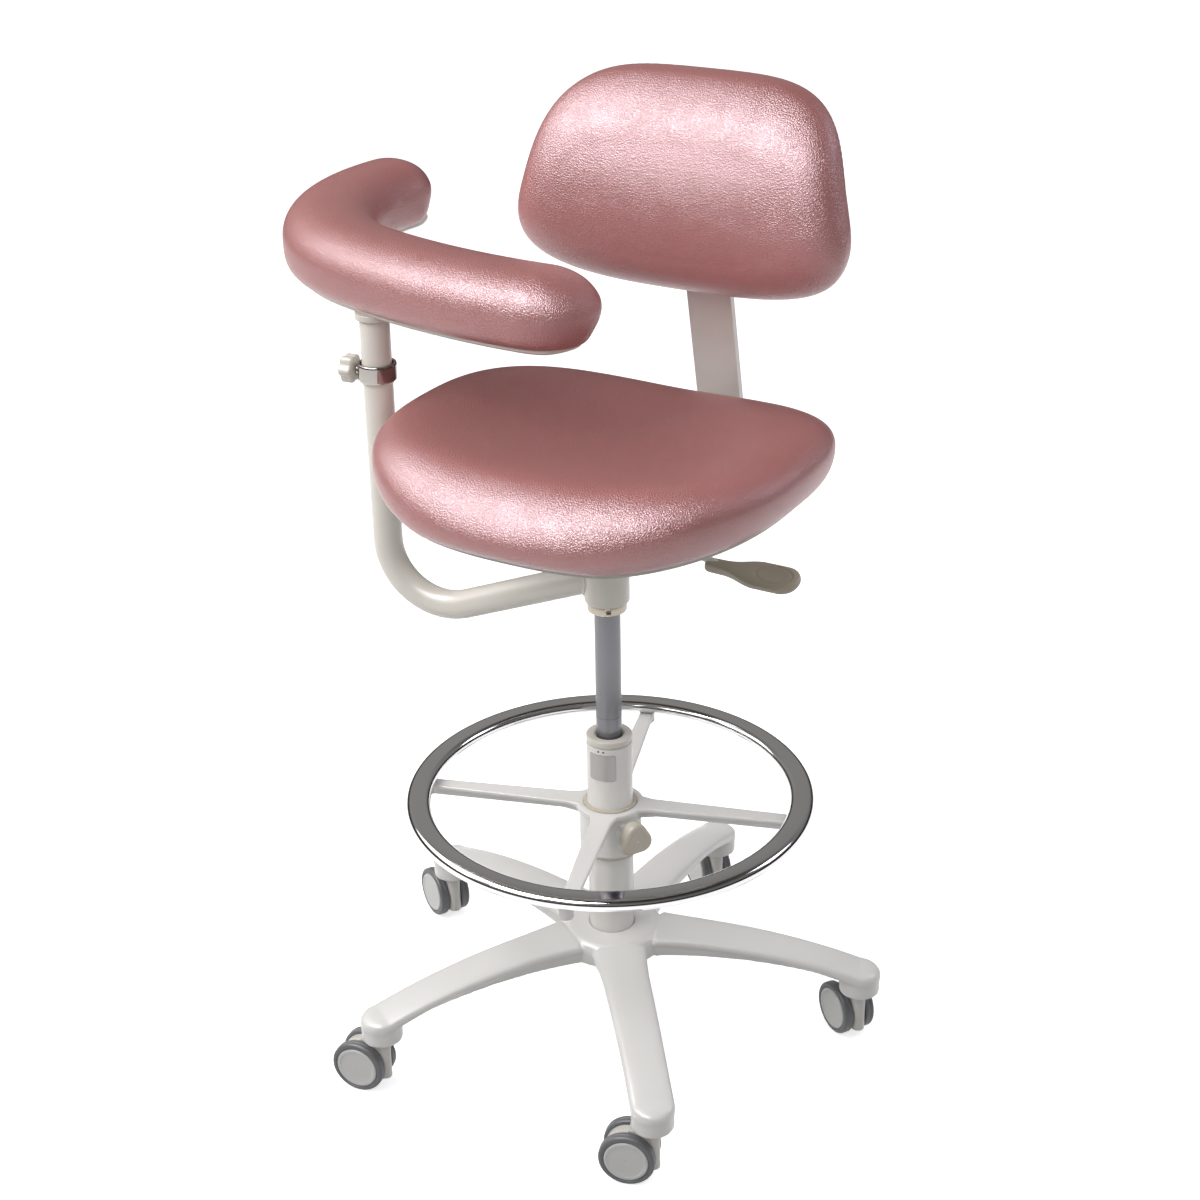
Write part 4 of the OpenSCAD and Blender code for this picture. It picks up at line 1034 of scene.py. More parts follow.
    def column(self) -> None:
        """Dresses the column and what it holds, and adds its cap and guide."""
        self.dress("column_tube", WHITE_PAINT, 0.0006)
        low, high = self.column_top, self.column_top + self.cap_h
        cap = soften([(LIFT_BORE_R, low), (self.column_r, low), (self.column_r, high - 0.0005),
                      (self.cap_r, high), (LIFT_BORE_R, high)], self.cap_round, 6)
        guide = bush(LIFT_BORE_R, self.cap_r, self.bush_low, low + 0.0005, 0.0004)
        place_piece("column_cap", "base", IVORY_PLASTIC, [lathe(cap), guide], ["column_bush"])
        self.plate_and_plugs()
        for name in ("thrust_bearing", "retaining_clip", "piston_rod"):
            self.dress(name, DARK_STEEL if name == "retaining_clip" else STEEL, 0.0003)

    def plate_and_plugs(self) -> None:
        """Bends the plain plate round the column, with a small plug over each of its ends."""
        lo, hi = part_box("column_plate")
        middle, half = math.radians(self.plate_turn), self.plate_w / 2
        edge = dense(soften([(-half, lo.z), (half, lo.z), (half, hi.z), (-half, hi.z)], 0.003, 5), 0.0015)
        inner, outer = self.column_r - 0.0002, self.column_r + 0.0005
        rings = []
        middle_z = (lo.z + hi.z) / 2
        for radius, share in ((inner, 0.02), (inner, 0.5), (inner, 1.0), (outer - 0.0001, 1.0),
                              *((outer, s) for s in (0.98, 0.85, 0.7, 0.5, 0.3, 0.02))):
            grown = [(x * share, middle_z + (z - middle_z) * share) for x, z in edge]
            rings.append(np.array([(radius * math.cos(middle + x / self.column_r),
                                    radius * math.sin(middle + x / self.column_r), z) for x, z in grown]))
        place_piece("column_blank_plate", "base", GREY_PLATE, [loft(rings)], ["column_plate"])
        for i, turn in enumerate(self.plug_turns):
            plug = stub(0.0012, -0.001, 0.0004, 0.0003, 24)
            x, y = (self.column_r * f(math.radians(turn)) for f in (math.cos, math.sin))
            place_piece(f"column_plug_{i + 1}", "base", DARK_STEEL,
                        [plug.moved(along_x(x, y, hi.z + self.plug_gap, turn))])


# --------------------------------------------------------------------------- casters


@dataclass
class Casters(SubAssembly):
    """Five twin-wheel casters."""

    reach: float = 0.280
    first_turn: float = -52.3
    headings: tuple[float, ...] = (196.5, 146.0, 145.0, 150.0, 188.0)
    trail: float = 0.0245
    axle_z: float = 0.030
    wheel_start: float = 0.0079
    wheel_w: float = 0.012
    wheel_r: float = 0.030
    disc_r: float = 0.0235

    def frame_of(self, i: int) -> Matrix:
        """Gives the place and heading of a caster.

        Args:
            i: The caster's index.

        Returns:
            The matrix of its swivel axis on the floor.
        """
        turn = math.radians(self.first_turn + 360 * i / len(self.headings))
        spot = Matrix.Translation((self.reach * math.cos(turn), self.reach * math.sin(turn), 0))
        return spot @ turned(self.headings[i], "Z")

    def tyre(self) -> Solid:
        """Builds a tyre about +Z, with a parting line round its tread.

        Returns:
            The tyre's form, its inner side at the hood.
        """
        inner, outer, start = self.disc_r + 0.0001, self.wheel_r, self.wheel_start
        end = start + self.wheel_w - 0.0006
        middle = (start + end) / 2
        tread = [(outer, start + 0.0021), (outer, middle - 0.0003), (outer - 0.00025, middle),
                 (outer, middle + 0.0003), (outer, end - 0.0032)]
        shoulder = [(outer - 0.0031 * (1 - math.cos(t)), end - 0.0031 * (1 - math.sin(t)))
                    for t in np.linspace(0.15, math.pi / 2, 7)]
        return lathe([(inner, start + 0.0006), (inner + 0.0006, start), (outer - 0.0019, start),
                      (outer - 0.0006, start + 0.0007), *tread, *shoulder,
                      (inner + 0.0016, end), (inner + 0.0012, end - 0.0005), (inner + 0.0005, end - 0.0005),
                      (inner, end - 0.0009)], 120)

    def disc(self) -> Solid:
        """Builds a wheel disc about +Z: a raised face with a soft rim and a shallow ring.

        Returns:
            The disc's form, its inner side at the hood.
        """
        r, start = self.disc_r, self.wheel_start
        end = start + self.wheel_w
        web, bore = end - 0.0026, 0.00305
        profile = [(bore, start), (0.007, start), (0.007, web), (r - 0.0024, web), (r - 0.0024, start),
                   (r, start), (r, end - 0.0011), (r - 0.0004, end - 0.0004), (r - 0.0012, end),
                   (r - 0.0034, end), (r - 0.0042, end - 0.00045), (r - 0.0075, end - 0.0006),
                   (0.004, end - 0.0004), (0.0004, end - 0.0004), (0.0004, web), (bore, web)]
        return lathe(soften(profile, 0.0002, 2), 120)

    def build(self) -> None:
        """Builds the wheels and dresses the hoods and stems."""
        for i in range(len(self.headings)):
            number = i + 1
            self.dress(f"caster_hood_{number}", HOOD_PLASTIC, 0.0011)
            for side, turn in (("left", -90), ("right", 90)):
                axle = self.frame_of(i) @ Matrix.Translation((self.trail, 0, self.axle_z))
                spot = axle @ turned(turn, "X")
                body = f"wheel_{number}_{side}"
                place_piece(f"caster_{number}_tread_{side}", body, TYRE_RUBBER, [self.tyre().moved(spot)],
                            [f"caster_{number}_tyre_{side}"])
                place_piece(f"caster_{number}_face_{side}", body, DISC_PLASTIC, [self.disc().moved(spot)],
                            [f"caster_{number}_disc_{side}"])
        self.dress("caster_stems", STEEL, 0.0003)


# --------------------------------------------------------------------------- foot ring


@dataclass
class FootRing(SubAssembly):
    """The foot ring with its spider and clamp knob."""

    ring_r: float = 0.2095
    ring_w: float = 0.027
    ring_h: float = 0.014
    ring_z: float = 0.2946
    top: float = 0.2876
    hub_low: float = 0.2316
    bore_r: float = 0.0291
    hub_r: float = 0.034
    flange_r: float = 0.037
    flange_h: float = 0.008
    first_arm: float = 17.0
    arm_t: float = 0.005
    arm_h: float = 0.015
    root_w: float = 0.024
    root_run: float = 0.014
    tip_w: float = 0.016
    web_half: float = 0.0025
    gusset_half: float = 0.009
    gusset_run: float = 0.022
    knob_turn: float = -30.0
    knob_z: float = 0.2646
    knob_start: float = 0.045
    knob_r: float = 0.020
    knob_h: float = 0.014

    def ring(self) -> None:
        """Builds the polished oval ring."""
        flat, r = (self.ring_w - self.ring_h) / 2, self.ring_h / 2
        profile = [(self.ring_r + flat + r * math.cos(t), self.ring_z + r * math.sin(t))
                   for t in np.linspace(-math.pi / 2, math.pi / 2, 25)]
        profile += [(self.ring_r - flat + r * math.cos(t), self.ring_z + r * math.sin(t))
                    for t in np.linspace(math.pi / 2, 3 * math.pi / 2, 25)]
        place_piece("foot_ring_rail", "foot_ring", CHROME, [lathe(profile, 288)], ["foot_ring"])

    def spider(self) -> None:
        """Builds the cast spider: its hub, its four ribbed arms and the knob's boss."""
        hub = bush(self.bore_r, self.hub_r, self.hub_low, self.top, 0.001, 120)
        flange = bush(self.bore_r, self.flange_r, self.top - self.flange_h, self.top, 0.002, 120)
        start, end, root, tip = self.bore_r + 0.0025, self.ring_r, self.root_w / 2, self.tip_w / 2
        half = [(start, root + 0.004), (start + self.root_run, root), (end, tip)]
        plan = [*((x, -w) for x, w in half), *reversed(half)]
        plate = prism(plan, self.top - self.arm_t, self.top)
        low, high, thin, wide = self.top - self.arm_h, self.top - 0.001, self.web_half, self.gusset_half
        web = prism([(start, -thin), (end, -thin), (end, thin), (start, thin)], low, high)
        past = start + self.gusset_run
        gusset = prism([(start, -wide), (past, -thin), (past, thin), (start, wide)], low, high)
        end_boss = stub(tip, low, self.top, 0.001, 48)
        solids = [hub, flange]
        for i in range(4):
            turn = turned(self.first_arm + 90 * i, "Z")
            solids += [part.moved(turn) for part in (plate, web, gusset)]
            solids.append(end_boss.moved(turn @ Matrix.Translation((end, 0, 0))))
        out = along_x(0, 0, self.knob_z, self.knob_turn)
        solids.append(stub(0.010, 0.0305, 0.0419, 0.001, 48).moved(out))
        fused_piece("spider_casting", "ring_slide", WHITE_PLASTIC, solids, 0.0012, 4, ["ring_spider"])

    def knob(self) -> None:
        """Builds the three-lobed clamp knob, its stud and the plug in its face."""
        out = along_x(0, 0, self.knob_z, self.knob_turn) @ Matrix.Translation((0, 0, self.knob_start))
        profile = knob_profile(self.knob_h, 0.0038, self.knob_r, 0.0005)
        grip = lobed_rings(self.knob_r, 0.004, 3, profile, 180.0)
        stud = stub(0.004, -0.0157, 0.001, 0.0004)
        plug = stub(0.0011, self.knob_h - 0.0015, self.knob_h, 0.0003, 24)
        place_piece("ring_knob_grip", "ring_knob", BEIGE_PLASTIC, [grip.moved(out), stud.moved(out)],
                    ["ring_knob"])
        place_piece("ring_knob_plug", "ring_knob", IVORY_PLASTIC, [plug.moved(out)])

    def build(self) -> None:
        """Builds and dresses the foot ring's pieces."""
        self.ring()
        self.spider()
        self.knob()
        self.dress("ring_bush", BEIGE_PLASTIC, 0.0005)
        self.dress("ring_screws", STEEL, 0.0004)


# --------------------------------------------------------------------------- gas lift


@dataclass
class GasLift(SubAssembly):
    """The pressure tube with its retaining ring and release pin."""

    tube_r: float = 0.014
    mark_z: float = 0.3945

    def build(self) -> None:
        """Dresses the lift and adds the faint line that the guide leaves."""
        self.dress("pressure_tube", GAS_TUBE, 0.0004)
        self.dress("collar_ring", CHAMPAGNE, 0.0006)
        self.dress("release_pin", STEEL, 0.0004)
        line = bush(self.tube_r - 0.0003, self.tube_r + 0.00004, self.mark_z, self.mark_z + 0.0009, 0.00003)
        place_piece("pressure_tube_line", "lift", DARK_STEEL, [line])


# --------------------------------------------------------------------------- seat


@dataclass
class Seat(SubAssembly):
    """The seat cushion, its shell and the mechanism under it."""

    half_w: float = 0.225
    front: float = 0.216
    rear: float = 0.203
    back: float = 0.003
    shape: float = 2.5
    notch: float = 0.014
    side_lift: float = 0.024
    rear_lift: float = 0.011
    shell_z: float = 0.651
    shell_t: float = 0.005
    height: float = 0.061
    dish: float = 0.012
    fall: float = 0.011
    rear_fall: float = 0.010
    front_crown: float = 0.014
    tuck: float = 0.016
    roll: float = 0.071
    low_share: float = 0.47
    fullness: float = 2.3
    flat: float = 0.095
    lift_power: float = 1.25
    crown_narrow: float = 0.7
    gathers: int = 47
    gather_depth: float = 0.0007
    shell_inset: float = 0.019
    around: int = 260

    def outline(self, inset: float) -> np.ndarray:
        """Gives the seat's outline, drawn in by an inset.

        Args:
            inset: How far it is drawn in.

        Returns:
            The outline's points.
        """
        a = full_turn(self.around)
        corner = 2 / self.shape
        depth = np.where(np.sin(a) < 0, self.front, self.rear) - inset
        x = (self.half_w - inset) * signed_power(np.cos(a), corner)
        y = depth * signed_power(np.sin(a), corner)
        hollow = self.notch * (1 - (x / self.half_w) ** 2) * y / depth
        return np.stack([x, np.where(y < 0, y, y - hollow)], 1)

    def ring(self, inset: float, z: float, scale: float = 1.0) -> np.ndarray:
        """Gives a ring of the cushion or shell.

        Args:
            inset: How far it is drawn in.
            z: Its height above the shell's top.
            scale: The share of the outline that it spans.

        Returns:
            The ring's points.
        """
        p = scale * self.outline(inset)
        x, y = p[:, 0], p[:, 1]
        up = float(ease(max(0.0, z) / self.height))
        behind, ahead = np.maximum(0, y / self.rear), np.maximum(0, -y / self.front)
        away = np.minimum(1, np.hypot(x / self.half_w, y / np.where(y < 0, self.front, self.rear)))
        started = min(1.0, max(0.0, z) / (self.low_share * self.height))
        drop = float(ease(started)) * self.fall * ahead ** 3
        sink = self.rear_fall * behind ** 2 + self.dish * (1 - away ** 2) ** 2
        sideways = np.maximum(0, np.abs(x) - self.flat) / (self.half_w - self.flat)
        rearward = np.maximum(0, np.abs(y) - self.flat) / (self.rear - self.flat)
        pan = (self.side_lift * sideways ** self.lift_power
               + np.where(y < 0, 0, self.rear_lift * rearward ** self.lift_power))
        crown = self.side_lift * (x / self.half_w) ** 2 + self.rear_lift * behind ** 2
        swell = self.front_crown * (4 * ahead ** 2 * (1 - ahead ** 2)).clip(0) ** 1.5
        crown += swell * (1 - self.crown_narrow * (x / self.half_w) ** 2)
        height = self.shell_z + self.shell_t + z + (1 - up) * pan + up * (crown - sink) - drop
        return np.stack([x, y + self.back, height], 1)

    def cushion(self) -> None:
        """Builds the vinyl cushion with small gathers along its lower edge."""
        scales = (0.04, 0.46, 0.66, 0.84, 1.0)
        rings = [self.ring(self.shell_inset, 0.0, s) for s in scales]
        turn = full_turn(self.around)
        wander = turn * self.gathers + 1.7 * np.sin(turn * 5)
        gather = np.abs(np.sin(wander)) ** 3 * (0.5 + 0.5 * np.sin(turn * 3 + 1))
        for b in np.linspace(0, math.pi / 2, 22, endpoint=False):
            z = self.low_share * self.height * (1 - math.cos(b))
            fade = max(0.0, 1 - z / GATHER_RUN) * min(1.0, z / GATHER_START)
            rings.append(gathered(self.ring(self.tuck * (1 - math.sin(b)), z), 2,
                                  self.gather_depth * fade * gather))
        for b in np.linspace(0, math.pi / 2, 30):
            full = (1 - math.cos(b) ** self.fullness) ** (1 / self.fullness)
            z = self.low_share * self.height + (1 - self.low_share) * self.height * full
            rings.append(self.ring(self.roll * (1 - math.cos(b)), z))
        rings += [self.ring(self.roll, self.height, s) for s in np.linspace(0.96, 0.02, 26)]
        piece = place_piece("seat_cushion_vinyl", "lift", ROSE_VINYL, [loft(rings)], ["seat_cushion"])

    def shell(self) -> None:
        """Builds the moulded shell under the cushion."""
        scales = (0.04, 0.25, 0.46, 0.66, 0.84, 0.94, 1.0)
        rings = [self.ring(self.shell_inset, -0.0002, s) for s in scales]
        rings += [self.ring(self.shell_inset - 0.0004, z) for z in (-0.0012, -0.0036)]
        rings += [self.ring(self.shell_inset, -self.shell_t, s) for s in reversed(scales)]
        place_piece("seat_shell_moulding", "lift", SHELL_PLASTIC, [loft(rings)], ["seat_shell"])

    def build(self) -> None:
        """Builds and dresses the seat's pieces."""
        self.cushion()
        self.shell()
        self.dress("seat_mechanism", WHITE_PAINT, 0.0009)
        self.dress("seat_bolts", DARK_STEEL, 0.0004)


# --------------------------------------------------------------------------- lever


@dataclass
class Lever(SubAssembly):
    """The height lever with its paddle."""

    reach: float = 0.219
    length: float = 0.103
    half_w: float = 0.0185
    neck_half: float = 0.0085
    roll: float = 17.0
    half_t: float = 0.0065
    z: float = 0.597
    oval_at: float = 0.735
    oval_half: float = 0.185
    oval_w: float = 0.66
    groove: float = 0.0009
    groove_w: float = 0.06
    hollow: float = 0.0012
    root_round: float = 0.075

    def halves(self, u: float) -> tuple[float, float]:
        """Gives half the paddle's width and thickness at a share of its length.

        Args:
            u: The share of the length, from the rod's end.

        Returns:
            Half the width and half the thickness.
        """
        swell = float(ease(min(1.0, max(0.0, (u - 0.2) / 0.38))))
        half = self.neck_half + (self.half_w - self.neck_half) * swell
        thick = self.half_t * (1 - 0.12 * swell)
        start, end = self.root_round, 1 - self.half_w / self.length
        if u < start:
            round_off = math.sqrt(max(0.0, 1 - ((start - u) / start) ** 2))
            return half * (0.45 + 0.55 * round_off), thick * (0.45 + 0.55 * round_off)
        if u > end:
            far = (u - end) / (1 - end)
            return half * math.sqrt(max(0.0, 1 - far ** 2)), thick * math.sqrt(max(0.0, 1 - far ** 4))
        return half, thick

    def paddle(self) -> Solid:
        """Builds the paddle with the shallow oval in its top.

        Returns:
            The paddle's form.
        """
        a = full_turn(112)
        shares = [*np.linspace(0.0, 0.8, 76), *(0.8 + 0.2 * math.sin(t) for t in np.linspace(0.05, 1.55, 34))]
        rings = []
        for u in shares:
            half, thick = self.halves(u)
            x = self.reach - self.length * (1 - u)
            side = half * signed_power(np.cos(a), 0.8)
            up = thick * signed_power(np.sin(a), 0.62)
            far = np.hypot((u - self.oval_at) / self.oval_half, side / (self.half_w * self.oval_w))
            groove = (self.groove * np.exp(-((far - 1) / self.groove_w) ** 2)
                      + self.hollow * (far < 1) * (1 - far ** 2).clip(0))
            up = np.where(np.sin(a) > 0, up - groove, up)
            lean = math.radians(self.roll) * float(ease(min(1.0, u / 0.5)))
            rings.append(np.stack([np.full(len(a), x), side * math.cos(lean) - up * math.sin(lean),
                                   self.z + side * math.sin(lean) + up * math.cos(lean)], 1))
        return loft(rings)

    def build(self) -> None:
        """Builds the paddle and dresses its rod."""
        # The paddle's darker beige is painted shade for the shadow under the seat.
        place_piece("lever_paddle_grip", "lever", BEIGE_PLASTIC_PAINTED_SHADE, [self.paddle()], ["lever_paddle"])
        self.dress("lever_rod", IVORY_PAINT, 0.0003)


# --------------------------------------------------------------------------- body support


@dataclass
class BodySupport(SubAssembly):
    """The swinging support arm with its clamp, post and pad."""

    tube_r: float = 0.0159
    weld_r: float = 0.0022
    bore_r: float = 0.0139
    reach: float = 0.258
    turn: float = 186.3
    fall: float = 21.0
    bend: float = 0.068
    collar_r: float = 0.024
    collar_z: float = 0.5309
    collar_h: float = 0.068
    run_z: float = 0.5539
    run_start: float = 0.018
    tube_top: float = 0.7534
    clamp_z: float = 0.742
    clamp_h: float = 0.019
    clamp_t: float = 0.0034
    cup_r: float = 0.0174
    stud_z: float = 0.74998
    clamp_turn: float = 185.0
    pad_w: float = 0.107
    pad_h: float = 0.069
    near: float = 0.269
    behind: float = 0.0025
    heading: float = 186.0
    long_r: float = 0.690
    long_sweep: float = 25.0
    tight_r: float = 0.224
    tight_sweep: float = 94.5
    taper: float = 0.045
    near_share: float = 1.3
    far_share: float = 0.96
    end_tuck: float = 0.017
    near_margin: float = 0.024
    pad_z: float = 0.8213
    plate_low: float = 0.8153
    plate_t: float = 0.006
    plate_inset: float = 0.013
    plate_margin: float = 0.013
    plate_round: float = 0.022
    plate_edge: float = 0.0022
    grip_r: float = 0.0155
    grip_h: float = 0.0145
    grip_dip: float = 0.0026
    waist: float = 0.42
    end_rise: float = 0.35
    low_power: float = 0.5
    top_power: float = 0.88
    pad_flat: float = 0.005
    gather_depth: float = 0.034
    gather_run: float = 0.16
    gather_reach: float = 0.3
    near_waves: Point = (520.0, 61.0)
    long_waves: Point = (300.0, 37.0)
    long_gather: float = 0.35
    under_reach: float = 0.6
    under_power: float = 1.6
    end_run: float = 0.07
    end_slim: float = 0.10

    def swing(self) -> Matrix:
        """Gives the arm's turn about the column."""
        return turned(self.turn, "Z")

    def post(self) -> Matrix:
        """Gives the place of the post's axis."""
        a = math.radians(self.turn)
        return Matrix.Translation((self.reach * math.cos(a), self.reach * math.sin(a), 0))

    def arm_path(self) -> np.ndarray:
        """Gives the tube's centre line: a slope, a bend and an upright.

        Returns:
            The line's points, with the arm along +X.
        """
        fall = math.radians(self.fall)
        bend_x = self.reach - self.bend
        run_end = bend_x - self.bend * math.sin(fall)
        run_low = self.run_z - (run_end - self.run_start) * math.tan(fall)
        bend_z = run_low + self.bend * math.cos(fall)
        path = [(self.run_start + (run_end - self.run_start) * t, self.run_z + (run_low - self.run_z) * t)
                for t in np.linspace(0, 1, 10, endpoint=False)]
        path += [(bend_x + self.bend * math.cos(t), bend_z + self.bend * math.sin(t))
                 for t in np.linspace(-math.pi / 2 - fall, 0, 56)]
        path += [(self.reach, z) for z in np.linspace(bend_z + 0.004, self.tube_top, 10)]
        return np.array([(x, 0.0, z) for x, z in path])

    def weld(self) -> Solid:
        """Builds the weld bead where the tube meets the collar.

        Returns:
            The bead's form, with the arm along +X.
        """
        fall = math.radians(self.fall)
        slope = np.array([math.cos(fall), 0, -math.sin(fall)])
        up = np.array([math.sin(fall), 0, math.cos(fall)])
        line = []
        for t in full_turn(72):
            spoke = math.cos(t) * up + math.sin(t) * np.array([0, 1.0, 0])
            p = np.array([self.run_start, 0, self.run_z]) + self.tube_r * spoke
            reach = (math.sqrt(max(0.0, (self.collar_r + 0.0002) ** 2 - p[1] ** 2)) - p[0]) / slope[0]
            line.append(p + slope * reach)
        return sweep(np.array(line), circle(self.weld_r, 12), slope, wrap=True)

    def arm(self) -> None:
        """Builds the arm's tube, collar, weld and cup."""
        tube = sweep(self.arm_path(), circle(self.tube_r, 64), np.array([0, 1.0, 0]))
        collar = bush(LIFT_BORE_R, self.collar_r, self.collar_z, self.collar_z + self.collar_h, 0.0022, 120)
        cup = bush(self.bore_r + 0.0001, self.cup_r, self.clamp_z - 0.003, self.tube_top, 0.0008)
        out = Matrix.Translation((self.reach, 0, 0))
        solids = [tube, collar, self.weld(), cup.moved(out)]
        place_piece("support_arm_tube", "support_arm", IVORY_PAINT, [s.moved(self.swing()) for s in solids],
                    ["support_arm"])

    def clamp(self) -> None:
        """Builds the chrome clamp band, darkened with a painted dark reflection, its lug and the six-lobed
        knob.
        """
        low, high, inner = self.clamp_z, self.clamp_z + self.clamp_h, self.cup_r
        outer = inner + self.clamp_t
        band = soften([(inner, low), (outer - 0.0006, low), (outer, low + 0.002), (outer, high - 0.002),
                       (outer - 0.0006, high), (inner + 0.0003, high), (inner, high - 0.001)], 0.0012, 4)
        solids = [lathe(band, 120)]
        lug = stub(0.0065, 0.0175, outer + 0.003, 0.0008, 48)
        solids.append(lug.moved(along_x(0, 0, self.stud_z, self.clamp_turn)))
        # The band's dark, warm chrome is a painted dark reflection.
        place_piece("arm_clamp_band", "support_arm", CLAMP_CHROME_PAINTED_DARK_REFLECTION, [s.moved(self.post()) for s in solids],
                    ["arm_clamp"])
        out = self.post() @ along_x(0, 0, self.stud_z, self.clamp_turn)
        start = self.cup_r + self.clamp_t + 0.003 + 0.002
        profile = knob_profile(self.grip_h, 0.0026, self.grip_r, 0.0004)
        grip = lobed_rings(self.grip_r, self.grip_dip, 6, profile, 30.0)
        stud = stub(0.003, 0.0146, start + 0.002, 0.0003)
        place_piece("arm_clamp_grip", "arm_clamp_knob", IVORY_PLASTIC,
                    [grip.moved(out @ Matrix.Translation((0, 0, start))), stud.moved(out)],
                    ["arm_clamp_knob"])

    def pad_line(self, l: float) -> tuple[float, float, float]:
        """Gives the pad's middle line at a distance from its near end.

        Args:
            l: The distance along the line.

        Returns:
            X and Y from the post, and the heading in radians.
        """
        long_l = self.long_r * math.radians(self.long_sweep)
        spot = self.near, self.behind, math.radians(self.heading)
        if l < long_l:
            return self.arc_step(spot, self.long_r, l)
        return self.arc_step(self.arc_step(spot, self.long_r, long_l), self.tight_r, l - long_l)

    @staticmethod
    def arc_step(spot: tuple[float, float, float], r: float, l: float) -> tuple[float, float, float]:
        """Steps along an arc that turns to the right.

        Args:
            spot: X, Y and the heading at the start.
            r: The arc's radius.
            l: The length of the step.

        Returns:
            X, Y and the heading at the end.
        """
        x, y, a = spot
        b = a - l / r
        return x + r * (math.sin(a) - math.sin(b)), y - r * (math.cos(a) - math.cos(b)), b

    def pad_length(self) -> float:
        """Gives the length of the pad's middle line."""
        return self.long_r * math.radians(self.long_sweep) + self.tight_r * math.radians(self.tight_sweep)

    def swell(self, l: float) -> float:
        """Gives how full the pad's section is at a distance.

        Args:
            l: The distance along the middle line.

        Returns:
            The share of the full section.
        """
        near_end, far_end = self.near_share * self.pad_w / 2, self.far_share * self.pad_w / 2
        near = max(0.0, min(1.0, l / near_end, (self.pad_length() - l) / far_end))
        return math.sqrt(max(0.0, 1 - (1 - near) ** 2))

    def half(self, l: float) -> float:
        """Gives half the pad's width at a distance."""
        return self.pad_w / 2 * (1 + self.taper * (1 - 2 * l / self.pad_length())) * self.swell(l)

    @staticmethod
    def wave(l: float, waves: Point) -> float:
        """Gives how deep the gathers are at a distance, from 0 to 1."""
        return abs(math.sin(l * waves[0] + 2 * math.sin(l * waves[1]))) ** 4

    def pad_section(self, l: float, around: int) -> np.ndarray:
        """Gives the pad's section at a distance, with gathers low on the near end.

        Args:
            l: The distance along the middle line.
            around: How many points the section has.

        Returns:
            The section's points.
        """
        x, y, turn = self.pad_line(l)
        a = full_turn(around)
        power = np.where(np.sin(a) < 0, self.low_power, self.top_power)
        rise = (self.end_rise + (1 - self.end_rise) * self.swell(l)) * self.pad_h
        side = self.half(l) * signed_power(np.cos(a), power)
        reach = np.where(np.sin(a) < 0, self.waist * rise + self.pad_flat, (1 - self.waist) * rise)
        up = np.maximum(0, self.waist * rise + reach * signed_power(np.sin(a), power))
        gather = self.wave(l, self.near_waves) * max(0.0, 1 - l / self.gather_run)
        gather += self.long_gather * self.wave(l, self.long_waves)
        low = np.clip(1 - up / (self.gather_reach * self.pad_h), 0, 1) * np.clip(up / 0.002, 0, 1)
        side = side * (1 - self.gather_depth * gather * low)
        under = np.clip(1 - up / (self.under_reach * self.pad_h), 0, 1) ** self.under_power
        near, far = ((1 - min(1.0, run / self.end_run)) ** 1.5 for run in (l, self.pad_length() - l))
        slip = self.end_tuck * under * (near - far)
        side = side * (1 - self.end_slim * under * abs(near - far))
        return np.stack([x - side * math.sin(turn) + slip * math.cos(turn),
                         y + side * math.cos(turn) + slip * math.sin(turn), self.pad_z + up], 1)

    def pad(self) -> None:
        """Builds the vinyl pad."""
        length = self.pad_length()
        near_end, far_end = self.near_share * self.pad_w / 2, self.far_share * self.pad_w / 2
        ends = [1 - math.cos(math.pi / 2 * i / 18) for i in range(1, 19)]
        stops = [near_end * e for e in ends] + list(np.linspace(near_end, length - far_end, 150)[1:-1])
        stops += [length - far_end * e for e in reversed(ends)]
        rings = [self.pad_section(l, 96) for l in stops]
        piece = place_piece("arm_pad_vinyl", "arm_pad", ROSE_VINYL, [loft(rings).moved(self.post())],
                            ["arm_pad"])

    def plate(self) -> None:
        """Builds the moulded plate under the pad with its socket."""
        length, low, high = self.pad_length(), self.plate_low, self.plate_low + self.plate_t
        rings = []
        for i in range(91):
            l = self.near_margin + (length - self.near_margin - self.plate_margin) * float(ease(i / 90))
            x, y, turn = self.pad_line(l)
            far = 1 - min(1.0, (l - self.near_margin) / self.plate_round)
            half = max(0.001, (self.half(l) - self.plate_inset) * math.sqrt(max(0.0, 1 - far ** 2)))
            edge = min(self.plate_edge, 0.4 * half)
            shoulder = low + self.plate_edge
            section = soften([(-half, high), (half, high), (half, shoulder), (half - edge, low),
                              (edge - half, low), (-half, shoulder)], min(0.001, 0.3 * edge), 2)
            rings.append(np.array([(x - k * math.sin(turn), y + k * math.cos(turn), z) for k, z in section]))
        socket = bush(0.00905, 0.020, low - 0.006, low + 0.001, 0.0012, 72)
        place_piece("arm_plate_moulding", "arm_pad", IVORY_PLASTIC,
                    [s.moved(self.post()) for s in (loft(rings), socket)], ["arm_plate"])

    def build(self) -> None:
        """Builds and dresses the body support's pieces."""
        self.arm()
        self.clamp()
        self.pad()
        self.plate()
        self.dress("arm_post", IVORY_PAINT, 0.0006)
        self.dress("arm_screws", STEEL, 0.0003)


# --------------------------------------------------------------------------- backrest


